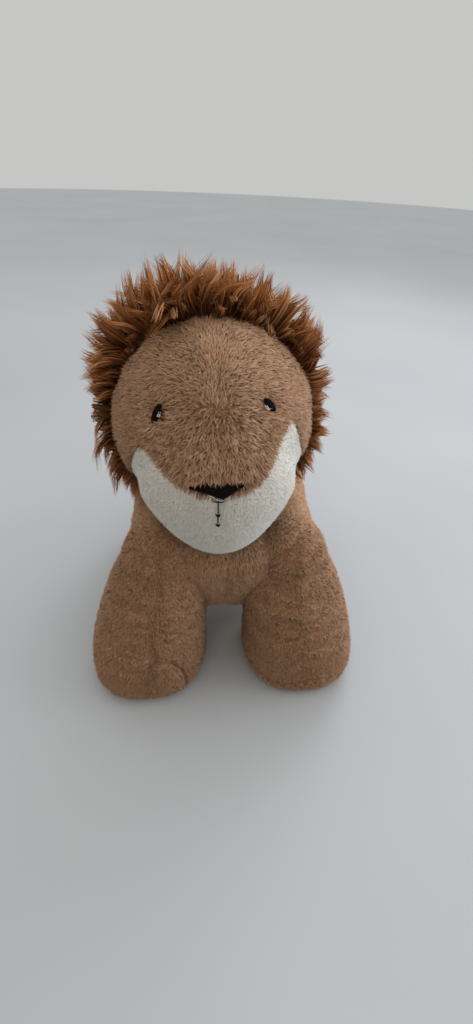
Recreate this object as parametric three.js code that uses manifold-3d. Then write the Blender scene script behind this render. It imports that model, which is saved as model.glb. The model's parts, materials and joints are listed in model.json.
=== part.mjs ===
// A stuffed toy lion that stands on four thick legs. Short pile plush is sewn over fibre stuffing,
// the chin is white, the mane is long pile fur, and the eyes, nose and mouth are stitched.
// Millimetres, +Z up. The lion faces -Y, its left side is +X, and it stands on Z = 0.
// The sizes place the pieces from the middle of the front paws, and the last lines move the
// origin to the middle of the footprint.
import * as THREE from 'three';
import { mergeVertices } from 'three/addons/utils/BufferGeometryUtils.js';
import Module from 'manifold-3d';

const wasm = await Module();
wasm.setup();

const { degToRad, lerp } = THREE.MathUtils;

// Cloth, thread and seams
const plushThickness = 4;
const seamGap = 0.3;
const threadHeight = 1.6;
const glintHeight = 0.8;

// How far a cutting solid reaches, which is past every side of the lion
const overrun = 400;

// Legs: from a flat sole up to a round shoulder that turns in a socket of the torso
const frontLeg = {
  footX: 63,
  footY: -4,
  pivotX: 46,
  pivotY: 3,
  pivotZ: 112,
  pawHalfWidth: 45,
  pawHalfDepth: 46,
  shoulderHalfWidth: 27,
  shoulderRadius: 30,
};
const hindLeg = {
  footX: 50,
  footY: 134,
  pivotX: 42,
  pivotY: 128,
  pivotZ: 104,
  pawHalfWidth: 36,
  pawHalfDepth: 42,
  shoulderHalfWidth: 28,
  shoulderRadius: 34,
};
const soleHeight = 7;
const legSwing = degToRad(10);
const legClearance = 2.4;
const legPadRadius = 5;

// Leg heights as shares of the pivot's height, each with its swell from the shoulder's size, 0,
// to the paw's size, 1. Then the shoulder's rings as shares of its radius above the pivot.
const legShaftShares = [
  [0, 0.55],
  [0.035, 0.86],
  [0.12, 1],
  [0.3, 0.99],
  [0.52, 0.85],
  [0.77, 0.44],
  [1, 0],
];
const shoulderDomeShares = [0.4, 0.75, 0.95];
const pawSquareShare = 1.25;
const socketSquareShare = 1.9;
const legSides = 14;
const legCoreSides = 8;
const legPadSides = 12;

// Torso: a blunt egg from the chest to the rump
const torso = {
  chestY: -24,
  rumpY: 178,
  middleZ: 106,
  halfWidth: 70,
  halfHeight: 58,
  bellySeamZ: 72,
};
const torsoBluntShare = 2.5;
const torsoTaperShare = 0.1;
const torsoSides = 18;
const torsoRings = 9;
const torsoCoreSides = 12;
const torsoCoreRings = 6;

// Head: a round skull, turned and leaned a little on the neck
const head = {
  middleX: -9,
  middleY: 27,
  middleZ: 210,
  radius: 62,
};
const headTurn = degToRad(0.5);
const headLean = degToRad(-2.5);
const headClearance = 2;

// How far the head can turn either way, and nod down before the chin meets the chest
const headSwing = degToRad(18);
const headNod = degToRad(3);
const headSides = 20;
const headRings = 12;
const headCoreSides = 12;
const headCoreRings = 8;

// The face's sizes are seen from the front and measured from the middle of the skull
const muzzle = {
  forward: 40,
  below: 23,
  halfWidth: 47,
  halfDepth: 37,
  halfHeight: 49,
};
const eyeSeam = { above: 24, halfWidth: 29 };
const chinSeam = { below: 9, halfWidth: 29, tipOut: 46, tipAbove: 8, cornerOut: 59, cornerBelow: 12 };
const eye = { out: 29, above: 27, halfWidth: 2.8, halfHeight: 4.8 };
const eyeSlant = degToRad(24);
const glint = { halfWidth: 0.5, halfHeight: 2 };
const nose = { halfWidth: 14, height: 9.5, below: 2, corner: 2.5 };
const mouth = { height: 21, width: 1.2, crossWidth: 5, dotSize: 2.2 };
const ovalSteps = 12;

// Mane: a squarish egg round the skull, from the edge of the face back. Its hem hangs lowest beside
// the face and rises to the back. Peaks stand for its locks, with hollows lockDepth deep between them.
const mane = {
  back: 6,
  up: 2,
  halfWidth: 77,
  halfDepth: 70,
  halfHeight: 84,
  faceEdge: 3,
  hemBelow: 49,
  lockDepth: 10,
};
const hemRise = degToRad(16);
const maneSquareShare = 1.25;
const maneSides = 36;
const maneRings = 22;

// Neck: a stuffed pad between the skull and the torso, and the wider cradle in it for the skull,
// both measured from straight down
const neckThickness = 11;
const neckAngle = degToRad(22);
const cradleAngle = degToRad(33);
const neckSides = 20;
const neckSteps = 4;

// Tail: hangs behind the rump and ends in a tuft. Its root turns in a socket of the rump.
const tail = {
  rootY: 167,
  rootZ: 134,
  rootRadius: 9,
  bendY: 182,
  bendZ: 131,
  hangY: 192,
  hangZ: 114,
  tipZ: 64,
  radius: 7.5,
  tuftRadius: 13,
  tuftLength: 42,
};
const tailThickness = 3;
const tailSides = 8;
const tailRings = 7;

// Colours in soft daylight
const plushBrown = '#8e6d55';
const soleBrown = '#80604a';
const chinWhite = '#cfcbc0';
const maneBrown = '#7a4526';
const threadDark = '#190b08';
const threadPale = '#d8d4cc';
const fibreWhite = '#e6e2d8';

// A closed geometry as a solid that can be joined and cut
function solidOf(geometry) {
  const bare = geometry.clone();
  bare.deleteAttribute('normal');
  bare.deleteAttribute('uv');
  const merged = mergeVertices(bare);
  return new wasm.Manifold(new wasm.Mesh({
    numProp: 3,
    vertProperties: new Float32Array(merged.attributes.position.array),
    triVerts: new Uint32Array(merged.index.array),
  }));
}

function geometryOf(solid) {
  const { vertProperties, triVerts } = solid.getMesh();
  const geometry = new THREE.BufferGeometry();
  geometry.setAttribute('position', new THREE.BufferAttribute(vertProperties, 3));
  geometry.setIndex(new THREE.BufferAttribute(triVerts, 1));
  geometry.computeVertexNormals();
  return geometry;
}

function allOf(solids) {
  return solids.reduce((sum, solid) => sum.add(solid));
}

// A closed form through rings of points, with each end ring closed to its middle
function loft(rings) {
  const sides = rings[0].length;
  const points = rings.flat();
  const last = points.length - sides;
  const index = [];
  for (let low = 0; low < last; low += sides) {
    for (let j = 0; j < sides; j++) {
      const a = low + j;
      const b = low + (j + 1) % sides;
      index.push(a, b, b + sides, a, b + sides, a + sides);
    }
  }
  const firstMiddle = points.push(middleOf(rings[0])) - 1;
  const lastMiddle = points.push(middleOf(rings.at(-1))) - 1;
  for (let j = 0; j < sides; j++) {
    const next = (j + 1) % sides;
    index.push(firstMiddle, next, j, lastMiddle, last + j, last + next);
  }
  const geometry = new THREE.BufferGeometry().setFromPoints(points);
  geometry.setIndex(index);
  return solidOf(geometry);
}

function middleOf(ring) {
  return ring.reduce((sum, point) => sum.add(point), new THREE.Vector3()).divideScalar(ring.length);
}

// A unit section. A share of 1 is a circle, and a larger one is squarer with round corners.
function section(sides, squareShare) {
  const rounded = (value) => Math.sign(value) * Math.abs(value) ** (1 / squareShare);
  return Array.from({ length: sides }, (_, i) => {
    const angle = 2 * Math.PI * i / sides;
    return [rounded(Math.cos(angle)), rounded(Math.sin(angle))];
  });
}

function eggGeometry(middle, halfSizes, sides, rings) {
  const geometry = new THREE.SphereGeometry(1, sides, rings);
  geometry.rotateX(Math.PI / 2);
  geometry.scale(halfSizes.x, halfSizes.y, halfSizes.z);
  return geometry.translate(middle.x, middle.y, middle.z);
}

function egg(middle, halfSizes, sides, rings) {
  return solidOf(eggGeometry(middle, halfSizes, sides, rings));
}

// The radius of an arc in straight steps that all lie outside the given radius
function facetedAround(radius, stepAngle) {
  return radius / Math.cos(stepAngle / 2);
}

// Everything between two heights along one axis
function slab(axis, from, to) {
  const size = new THREE.Vector3(1, 1, 1).multiplyScalar(2 * overrun);
  const middle = new THREE.Vector3();
  size[axis] = to - from;
  middle[axis] = (to + from) / 2;
  const geometry = new THREE.BoxGeometry(size.x, size.y, size.z);
  return solidOf(geometry.translate(middle.x, middle.y, middle.z));
}

const above = (axis, from) => slab(axis, from, overrun);
const below = (axis, to) => slab(axis, -overrun, to);

// Two halves of a solid with a seam between them
function halves(solid, axis, seam) {
  return [
    solid.intersect(above(axis, seam + seamGap / 2)),
    solid.intersect(below(axis, seam - seamGap / 2)),
  ];
}

const lion = new THREE.Group();
const headGroup = new THREE.Group();
headGroup.position.set(head.middleX, head.middleY, head.middleZ);
headGroup.rotation.set(0, headLean, headTurn);
lion.add(headGroup);

function addPiece(group, name, solid, color, roughness) {
  const material = new THREE.MeshStandardMaterial({ color, roughness, metalness: 0 });
  const mesh = new THREE.Mesh(geometryOf(solid), material);
  mesh.name = name;
  group.add(mesh);
}

function addCloth(group, name, solid, color) {
  addPiece(group, name, solid, color, 0.95);
}

function addFibre(group, name, solid) {
  addPiece(group, name, solid, fibreWhite, 1);
}

function addThread(group, name, solid, color) {
  addPiece(group, name, solid, color, 0.6);
}

// A leg on one side, larger all round by grow, and wider front to back by its swing either way
function legForm(leg, side, grow, sides, swing, squareShare) {
  const shoulderWidth = leg.shoulderHalfWidth + grow;
  const shoulderDepth = leg.shoulderRadius + grow;
  const shaft = legShaftShares.map(([heightShare, swellShare]) => {
    const z = lerp(-grow, leg.pivotZ, heightShare);
    const reach = (leg.pivotZ - z) * Math.sin(swing);
    const halfWidth = lerp(shoulderWidth, leg.pawHalfWidth + grow, swellShare);
    const halfDepth = lerp(shoulderDepth, leg.pawHalfDepth + grow, swellShare) + reach;
    const x = side * lerp(leg.footX, leg.pivotX, heightShare);
    const y = lerp(leg.footY, leg.pivotY, heightShare);
    const ringShare = lerp(squareShare, 1, heightShare ** 2);
    return section(sides, ringShare).map(
      ([c, s]) => new THREE.Vector3(x + halfWidth * c, y + halfDepth * s, z));
  });
  const dome = shoulderDomeShares.map((riseShare) => {
    const widthShare = Math.sqrt(1 - riseShare ** 2);
    const z = leg.pivotZ + shoulderDepth * riseShare;
    return section(sides, 1).map(([c, s]) => new THREE.Vector3(
      side * leg.pivotX + shoulderWidth * widthShare * c,
      leg.pivotY + shoulderDepth * widthShare * s,
      z));
  });
  return loft([...shaft, ...dome]);
}

function legSkin(leg, side) {
  return legForm(leg, side, 0, legSides, 0, pawSquareShare);
}

function legCore(leg, side, depth) {
  return legForm(leg, side, -depth, legCoreSides, 0, pawSquareShare);
}

// The room that a leg needs in the torso when it swings
function legSocket(leg, side) {
  return legForm(leg, side, legClearance, legSides, legSwing, socketSquareShare);
}

// A round pad of the torso's stuffing, on the line that a leg turns on, which the leg is sewn to
function legPad(leg, side) {
  const geometry = new THREE.CylinderGeometry(legPadRadius, legPadRadius, leg.pivotX, legPadSides);
  geometry.rotateZ(Math.PI / 2).translate(side * leg.pivotX / 2, leg.pivotY, leg.pivotZ);
  return solidOf(geometry).subtract(legForm(leg, side, seamGap, legSides, 0, pawSquareShare));
}

// Everything on one side of the seam plane that runs up the middle of a leg
function besideLegSeam(leg, side, outward) {
  const size = 2 * overrun;
  const geometry = new THREE.BoxGeometry(size, size, size);
  geometry.translate(side * outward * (size + seamGap) / 2, 0, 0);
  geometry.rotateY(side * Math.atan2(leg.pivotX - leg.footX, leg.pivotZ));
  return solidOf(geometry.translate(side * leg.footX, leg.footY, 0));
}

// A leg: an outer and an inner panel, the sole that they are sewn to, and the stuffing inside
function addLeg(name, leg, side) {
  const shell = legSkin(leg, side).subtract(legCore(leg, side, plushThickness));
  const upper = shell.intersect(above('z', soleHeight + seamGap));
  const sole = shell.intersect(below('z', soleHeight));
  addCloth(lion, `${name}_outer_panel`, upper.intersect(besideLegSeam(leg, side, 1)), plushBrown);
  addCloth(lion, `${name}_inner_panel`, upper.intersect(besideLegSeam(leg, side, -1)), plushBrown);
  addCloth(lion, `${name}_sole`, sole, soleBrown);
  addFibre(lion, `${name}_stuffing`, legCore(leg, side, plushThickness + seamGap));
}

function torsoForm(grow, sides, ringCount) {
  const middleY = (torso.chestY + torso.rumpY) / 2;
  const halfLength = (torso.rumpY - torso.chestY) / 2 + grow;
  const rings = [];
  for (let i = 1; i < ringCount; i++) {
    const alongShare = -Math.cos(Math.PI * i / ringCount);
    const swellShare = (1 - Math.abs(alongShare) ** torsoBluntShare) ** (1 / torsoBluntShare);
    const taperShare = 1 - torsoTaperShare * Math.max(0, alongShare);
    const halfWidth = (torso.halfWidth * taperShare + grow) * swellShare;
    const halfHeight = (torso.halfHeight + grow) * swellShare;
    rings.push(section(sides, 1).map(([c, s]) => new THREE.Vector3(
      halfWidth * s,
      middleY + halfLength * alongShare,
      torso.middleZ + halfHeight * c)));
  }
  return loft(rings);
}

// Everything that turns in the torso: the legs, the head, the neck and the tail's root
function torsoSockets() {
  return allOf([
    legSocket(frontLeg, 1),
    legSocket(frontLeg, -1),
    legSocket(hindLeg, 1),
    legSocket(hindLeg, -1),
    headSocket(),
    muzzleRoom([-headSwing, 0, headSwing]),
    neckSocket(),
    tailSocket(),
  ]);
}

// The torso: a left and a right panel, the belly panel between the legs, and the stuffing
function addTorso() {
  const sockets = torsoSockets();
  const core = torsoForm(-plushThickness, torsoCoreSides, torsoCoreRings);
  const shell = torsoForm(0, torsoSides, torsoRings).subtract(core).subtract(sockets);
  const [upper, belly] = halves(shell, 'z', torso.bellySeamZ);
  const [left, right] = halves(upper, 'x', 0);
  const pads = allOf([frontLeg, hindLeg].flatMap((leg) => [legPad(leg, 1), legPad(leg, -1)]));
  const fibre = torsoForm(-plushThickness - seamGap, torsoCoreSides, torsoCoreRings);
  const stuffing = fibre.subtract(sockets).add(pads);
  addCloth(lion, 'torso_left_panel', left, plushBrown);
  addCloth(lion, 'torso_right_panel', right, plushBrown);
  addCloth(lion, 'belly_panel', belly, plushBrown);
  addFibre(lion, 'torso_stuffing', stuffing);
}

// The ball that the skull turns in
function headSocket() {
  const around = facetedAround(head.radius + seamGap, 2 * Math.PI / headSides);
  const radius = facetedAround(around, Math.PI / headRings);
  return egg(headGroup.position, new THREE.Vector3().setScalar(radius), headSides, headRings);
}

// The room that the muzzle needs when the head nods down, and turns by each given angle
function muzzleRoom(turns) {
  return allOf(turns.map((turn) => {
    const geometry = muzzleGeometry(headClearance, headSides, headRings);
    geometry.rotateZ(headTurn).rotateY(headLean).rotateX(headNod).rotateZ(turn);
    return solidOf(geometry.translate(head.middleX, head.middleY, head.middleZ));
  }));
}

// A cone that opens downward from the middle of the skull and ends on a faceted ball round it
function neckCone(radius, angle, widthShare) {
  const profile = [new THREE.Vector2(0, 0)];
  for (let i = neckSteps; i >= 0; i--) {
    const at = angle * i / neckSteps;
    profile.push(new THREE.Vector2(widthShare * radius * Math.sin(at), -radius * Math.cos(at)));
  }
  const geometry = new THREE.LatheGeometry(profile.reverse(), neckSides);
  geometry.rotateX(Math.PI / 2);
  return solidOf(geometry.translate(head.middleX, head.middleY, head.middleZ));
}

// The cone is widened by this share where its flat sides must clear what turns inside it
const neckWidenShare = 1 / Math.cos(Math.PI / neckSides);

// The neck's pad: it cradles the skull and turns on the torso
function neckPad() {
  const cradleRadius = facetedAround(head.radius + seamGap, cradleAngle / neckSteps);
  const outer = head.radius + neckThickness;
  return neckCone(outer, neckAngle, 1)
    .subtract(neckCone(cradleRadius, cradleAngle, neckWidenShare))
    .subtract(muzzleRoom([0]));
}

// The room that the pad turns in
function neckSocket() {
  const outer = head.radius + neckThickness;
  const angle = neckAngle + Math.atan2(headClearance, outer);
  return neckCone(facetedAround(outer + seamGap, angle / neckSteps), angle, neckWidenShare);
}

// The muzzle's egg, from the middle of the skull, larger all round by grow
function muzzleGeometry(grow, sides, rings) {
  const middle = new THREE.Vector3(0, -muzzle.forward, -muzzle.below);
  const halfSizes = new THREE.Vector3(muzzle.halfWidth, muzzle.halfDepth, muzzle.halfHeight);
  return eggGeometry(middle, halfSizes.addScalar(grow), sides, rings);
}

// The head's form round the middle of the skull, larger all round by grow
function headForm(grow, sides, rings) {
  const skull = new THREE.Vector3().setScalar(head.radius + grow);
  return egg(new THREE.Vector3(), skull, sides, rings).add(solidOf(muzzleGeometry(grow, sides, rings)));
}

function headSkin(grow) {
  return headForm(grow, headSides, headRings);
}

function headCore(depth) {
  return headForm(-depth, headCoreSides, headCoreRings);
}

// A front view outline carried through the front half of the head
function throughFace(outline) {
  const geometry = new THREE.ExtrudeGeometry(outline, { depth: overrun, bevelEnabled: false });
  return solidOf(geometry.rotateX(Math.PI / 2));
}

// An outline that is the same on the left and the right, from its left points, top first
function mirroredOutline(leftPoints) {
  const rightPoints = leftPoints.map(([x, z]) => [-x, z]).reverse();
  return new THREE.Shape([...leftPoints, ...rightPoints].map(([x, z]) => new THREE.Vector2(x, z)));
}

function chinOutline(gap) {
  return mirroredOutline([
    [-chinSeam.halfWidth, gap - chinSeam.below],
    [-chinSeam.tipOut, gap + chinSeam.tipAbove],
    [-chinSeam.cornerOut, gap - chinSeam.cornerBelow],
    [-overrun, gap - chinSeam.cornerBelow],
    [-overrun, -overrun],
  ]);
}

function muzzleOutline(gap) {
  return mirroredOutline([
    [-eyeSeam.halfWidth - gap, eyeSeam.above + gap],
    [-chinSeam.tipOut - gap, chinSeam.tipAbove],
    [-chinSeam.tipOut - gap, -overrun],
  ]);
}

// The face: the white chin panel, the muzzle panel, and the two panels of the forehead and cheeks
function addFace(shell) {
  const face = shell.intersect(below('y', -mane.faceEdge - seamGap / 2));
  const brown = face.subtract(throughFace(chinOutline(seamGap)));
  const muzzlePanel = brown.intersect(throughFace(muzzleOutline(0)));
  const [left, right] = halves(brown.subtract(throughFace(muzzleOutline(seamGap))), 'x', 0);
  addCloth(headGroup, 'chin_panel', face.intersect(throughFace(chinOutline(0))), chinWhite);
  addCloth(headGroup, 'muzzle_panel', muzzlePanel, plushBrown);
  addCloth(headGroup, 'forehead_left_panel', left, plushBrown);
  addCloth(headGroup, 'forehead_right_panel', right, plushBrown);
}

// The mane's squarish egg. Every third point of a ring is a lock's tip, and the rest lie deeper.
function maneFur() {
  const geometry = new THREE.SphereGeometry(1, maneSides, maneRings);
  geometry.rotateX(Math.PI / 2);
  const tips = new THREE.Vector3(mane.halfWidth, mane.halfDepth, mane.halfHeight);
  const hollows = tips.clone().subScalar(mane.lockDepth);
  const { position } = geometry.attributes;
  const power = 2 * maneSquareShare;
  for (let i = 0; i < position.count; i++) {
    const ring = Math.floor(i / (maneSides + 1));
    const column = i % (maneSides + 1);
    const isTip = ring % maneRings === 0 || (column + ring) % 3 === 0;
    const point = new THREE.Vector3().fromBufferAttribute(position, i);
    const across = (Math.abs(point.x) ** power + Math.abs(point.z) ** power) ** (2 / power);
    point.divideScalar(Math.sqrt(across + point.y ** 2)).multiply(isTip ? tips : hollows);
    position.setXYZ(i, ...point);
  }
  return solidOf(geometry.translate(0, mane.back, mane.up));
}

// Everything over the mane's hem
function aboveHem() {
  const size = 2 * overrun;
  const geometry = new THREE.BoxGeometry(size, size, size);
  geometry.translate(0, 0, overrun).rotateX(hemRise);
  return solidOf(geometry.translate(0, 0, -mane.hemBelow));
}

// The mane covers the whole back of the head, and stands proud of the skull above its hem
function addMane() {
  const fur = maneFur().intersect(aboveHem());
  const skull = egg(new THREE.Vector3(), new THREE.Vector3().setScalar(head.radius), headSides, headRings);
  const back = fur.add(skull).subtract(headCore(plushThickness));
  const [left, right] = halves(back.intersect(above('y', seamGap / 2 - mane.faceEdge)), 'x', 0);
  addCloth(headGroup, 'mane_left_panel', left, maneBrown);
  addCloth(headGroup, 'mane_right_panel', right, maneBrown);
}

// A closed patch of thread that lies over the face, from one height to another
function stitched(outline, from, to) {
  return throughFace(outline).intersect(headSkin(to)).subtract(headSkin(from));
}

function oval(x, z, halfWidth, halfHeight, slant) {
  const curve = new THREE.EllipseCurve(x, z, halfWidth, halfHeight, 0, 2 * Math.PI, false, slant);
  return new THREE.Shape(curve.getPoints(ovalSteps).slice(1));
}

function bar(z, width, height) {
  return mirroredOutline([[-width / 2, z + height / 2], [-width / 2, z - height / 2]]);
}

function noseOutline() {
  const top = -nose.below;
  return mirroredOutline([
    [nose.corner - nose.halfWidth, top],
    [-nose.halfWidth, top - nose.corner],
    [-nose.corner, top - nose.height],
  ]);
}

// The mouth: an upright line of thread, a cross stitch at its top and two knots near its end
function mouthOutlines() {
  const top = -nose.below - nose.height - seamGap;
  const end = top - mouth.height;
  return [
    bar((top + end) / 2, mouth.width, mouth.height),
    bar(top - mouth.width, mouth.crossWidth, mouth.width),
    oval(0, end, mouth.dotSize / 2, mouth.dotSize / 2, 0),
    oval(0, end + mouth.crossWidth, mouth.dotSize / 2, mouth.dotSize / 2, 0),
  ];
}

function addStitches() {
  const threadTop = seamGap + threadHeight;
  const glintFrom = threadTop + seamGap;
  for (const [name, side] of [['left', 1], ['right', -1]]) {
    const x = side * eye.out;
    const slant = -side * eyeSlant;
    const patch = stitched(oval(x, eye.above, eye.halfWidth, eye.halfHeight, slant), seamGap, threadTop);
    const shine = oval(x, eye.above, glint.halfWidth, glint.halfHeight, slant);
    addThread(headGroup, `${name}_eye`, patch, threadDark);
    addThread(headGroup, `${name}_eye_glint`, stitched(shine, glintFrom, glintFrom + glintHeight), threadPale);
  }
  addThread(headGroup, 'nose', stitched(noseOutline(), seamGap, threadTop), threadDark);
  const line = allOf(mouthOutlines().map((outline) => stitched(outline, seamGap, threadTop)));
  addThread(headGroup, 'mouth_stitches', line, threadDark);
}

function addHead() {
  const shell = headSkin(0).subtract(headCore(plushThickness));
  addFibre(headGroup, 'head_stuffing', headCore(plushThickness + seamGap));
  addFace(shell);
  addMane();
  addStitches();
}

function tailMiddleLine() {
  return new THREE.CatmullRomCurve3([
    new THREE.Vector3(0, tail.rootY, tail.rootZ),
    new THREE.Vector3(0, tail.bendY, tail.bendZ),
    new THREE.Vector3(0, tail.hangY, tail.hangZ),
    new THREE.Vector3(0, tail.hangY, tail.tipZ - tail.radius),
  ]);
}

function tailRoot(radius) {
  const middle = new THREE.Vector3(0, tail.rootY, tail.rootZ);
  return egg(middle, new THREE.Vector3().setScalar(radius), tailSides, tailSides);
}

// The tail's round form, with its root, thinner all round by depth
function tailForm(depth) {
  const line = tailMiddleLine();
  const rings = [];
  for (let i = 0; i <= tailRings; i++) {
    const middle = line.getPoint(i / tailRings);
    const outward = new THREE.Vector3(1, 0, 0).cross(line.getTangent(i / tailRings));
    rings.push(section(tailSides, 1).map(([c, s]) => middle.clone()
      .addScaledVector(new THREE.Vector3(1, 0, 0), (tail.radius - depth) * c)
      .addScaledVector(outward, (depth - tail.radius) * s)));
  }
  return loft(rings).add(tailRoot(tail.rootRadius - depth));
}

// The ball that the tail's root turns in, with room for the tail where it hangs
function tailSocket() {
  const around = facetedAround(tail.rootRadius + seamGap, 2 * Math.PI / tailSides);
  const radius = facetedAround(around, Math.PI / tailSides);
  return tailRoot(radius).add(tailForm(-seamGap));
}

// The tail: a tube of plush round its stuffing, and a tuft of mane fur sewn to its end
function addTail() {
  const shell = tailForm(0).subtract(tailForm(tailThickness));
  const stuffing = tailForm(tailThickness + seamGap);
  addCloth(lion, 'tail_skin', shell.intersect(above('z', tail.tipZ)), plushBrown);
  addFibre(lion, 'tail_stuffing', stuffing.intersect(above('z', tail.tipZ)));
  const middle = new THREE.Vector3(0, tail.hangY, tail.tipZ - seamGap);
  const halfSizes = new THREE.Vector3(tail.tuftRadius, tail.tuftRadius, tail.tuftLength);
  const tuft = egg(middle, halfSizes, tailSides, tailRings).intersect(below('z', tail.tipZ - seamGap));
  addCloth(lion, 'tail_tuft', tuft, maneBrown);
}

addTorso();
addLeg('front_left_leg', frontLeg, 1);
addLeg('front_right_leg', frontLeg, -1);
addLeg('hind_left_leg', hindLeg, 1);
addLeg('hind_right_leg', hindLeg, -1);
addFibre(lion, 'neck_stuffing', neckPad());
addHead();
addTail();

const footprint = new THREE.Box3().setFromObject(lion, true);
lion.position.set(-(footprint.min.x + footprint.max.x) / 2, -(footprint.min.y + footprint.max.y) / 2, 0);

export default lion;
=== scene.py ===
# %% [markdown]
# # A plush lion, sewn and furred in Blender
#
# The lion is a stuffed toy. Its cloth is short pile plush, cut in flat panels, sewn together and
# filled with fibre. The mane and the tail's tuft are long pile fur.
#
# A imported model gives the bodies, the joints and the size of every panel. This lesson puts the real
# cloth in those places: each panel gets a smooth backing and thousands of small tufts of pile.

# %% Load the frame
import json
import bpy
import numpy as np
from mathutils import Matrix, Vector


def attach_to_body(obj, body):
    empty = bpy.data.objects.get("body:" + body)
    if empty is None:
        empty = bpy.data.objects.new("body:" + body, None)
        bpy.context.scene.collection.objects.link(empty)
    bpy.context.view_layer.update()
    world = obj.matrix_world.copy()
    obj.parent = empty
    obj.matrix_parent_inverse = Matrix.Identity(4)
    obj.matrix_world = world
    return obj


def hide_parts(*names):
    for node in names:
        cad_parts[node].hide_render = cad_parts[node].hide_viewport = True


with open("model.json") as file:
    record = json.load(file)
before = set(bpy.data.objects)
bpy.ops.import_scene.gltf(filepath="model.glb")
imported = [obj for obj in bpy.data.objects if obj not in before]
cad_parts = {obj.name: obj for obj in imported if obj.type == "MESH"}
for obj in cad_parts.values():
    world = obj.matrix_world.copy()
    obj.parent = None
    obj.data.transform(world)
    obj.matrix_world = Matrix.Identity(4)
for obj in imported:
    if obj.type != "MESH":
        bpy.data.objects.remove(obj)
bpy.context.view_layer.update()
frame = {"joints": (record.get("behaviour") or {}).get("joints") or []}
joints = {joint["name"]: joint for joint in frame["joints"]}

# %% [markdown]
# ## Working units
#
# The frame is in metres. A toy is easier to think about in millimetres, so every length below is in
# millimetres, and the one helper that makes meshes turns them to metres.

# %% Units and places that the frame gives
MM = 0.001


def joint_place(name):
    """Where a joint turns, in millimetres."""
    return np.array(joints[name]["pos_m"]) / MM


def rotation(axis, degrees):
    """A turn about one axis as a 3 by 3 array."""
    return np.array(Matrix.Rotation(np.radians(degrees), 3, axis))


neck_place = joint_place("head_turn")
print("the head turns about", neck_place.round(1))

# %% [markdown]
# ## The camera
#
# The picture was taken from above the lion's face with a wide lens, close to the toy. That is why the
# head looks large and the paws look small. The camera is placed first, so that every later look at
# the scene shows the lion the way the photograph does.

# %% Camera
camera_place = np.array([-22.1, -323.5, 350.0])
camera_heading = 6.5
camera_pitch = 38.5
camera_roll = 2.8
focal_pixels = 473
image_height = 1024

camera_data = bpy.data.cameras.new("camera")
camera_data.sensor_width = 36
camera_data.lens = camera_data.sensor_width * focal_pixels / image_height
camera = bpy.data.objects.new("camera", camera_data)
bpy.context.scene.collection.objects.link(camera)
aim = (Matrix.Rotation(np.radians(-camera_heading), 4, "Z")
       @ Matrix.Rotation(np.radians(90 - camera_pitch), 4, "X")
       @ Matrix.Rotation(np.radians(camera_roll), 4, "Z"))
camera.matrix_world = Matrix.Translation(Vector(camera_place * MM)) @ aim
bpy.context.scene.camera = camera
print("lens in mm:", round(camera_data.lens, 2))

# %% [markdown]
# ## From rings of points to cloth
#
# Thread, the tail and the collar are stacks of rings, like the wire frame of a lantern. The larger forms
# are balls of points that are blown up until they meet a skin. In both, four neighbouring points make
# one face. Working on whole arrays with numpy keeps even a hundred thousand tufts quick.

# %% Rings, faces and normals
def columns(x, y, z):
    """Points from what they have across, along and up. A plain number stands for all of them."""
    return np.stack(np.broadcast_arrays(x, y, z), axis=1)


def clamp(values):
    """Values held between 0 and 1."""
    return np.clip(values, 0, 1)


def ring_faces(rows, columns):
    """Four-sided faces between closed rings, lowest ring first."""
    index = np.arange(rows * columns).reshape(rows, columns)
    beside = np.roll(index, -1, axis=1)
    faces = np.stack([index[:-1], beside[:-1], beside[1:], index[1:]], axis=-1)
    return faces.reshape(-1, 4)


def unit(vectors):
    """Vectors of length one."""
    return vectors / np.maximum(np.linalg.norm(vectors, axis=-1, keepdims=True), 1e-9)


def tube(line, radii, sides, aside=None):
    """A tube of rings along a line. aside, where given, is square to the whole line."""
    ahead = unit(np.gradient(line, axis=0))
    aside = unit(np.cross(ahead, [0.12, 0.97, 0.21])) if aside is None else np.tile(aside, (len(line), 1))
    other = np.cross(ahead, aside)
    angle = np.linspace(0, 2 * np.pi, sides, endpoint=False)
    ring = np.cos(angle)[None, :, None] * aside[:, None] + np.sin(angle)[None, :, None] * other[:, None]
    points = line[:, None] + radii[:, None, None] * ring
    return points.reshape(-1, 3), ring_faces(len(line), sides)


def close_to(distance, width):
    """1 at no distance, and hardly anything from two widths on."""
    return np.exp(-(distance / width) ** 2)


def point_normals(points, faces):
    """The outward direction at every point, from the faces round it."""
    a, b, c, d = (points[faces[:, k]] for k in range(4))
    across = np.cross(c - a, d - b)
    total = np.zeros_like(points)
    for k in range(4):
        np.add.at(total, faces[:, k], across)
    return unit(total)


def blow_up(start, ways, inside, most=260.0):
    """Points where straight lines out from start meet the skin."""
    near, far = np.zeros(len(ways)), np.full(len(ways), most)
    for _ in range(26):
        middle = (near + far) / 2
        within = inside(start + middle[:, None] * ways)
        near, far = np.where(within, middle, near), np.where(within, far, middle)
    return start + near[:, None] * ways


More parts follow.
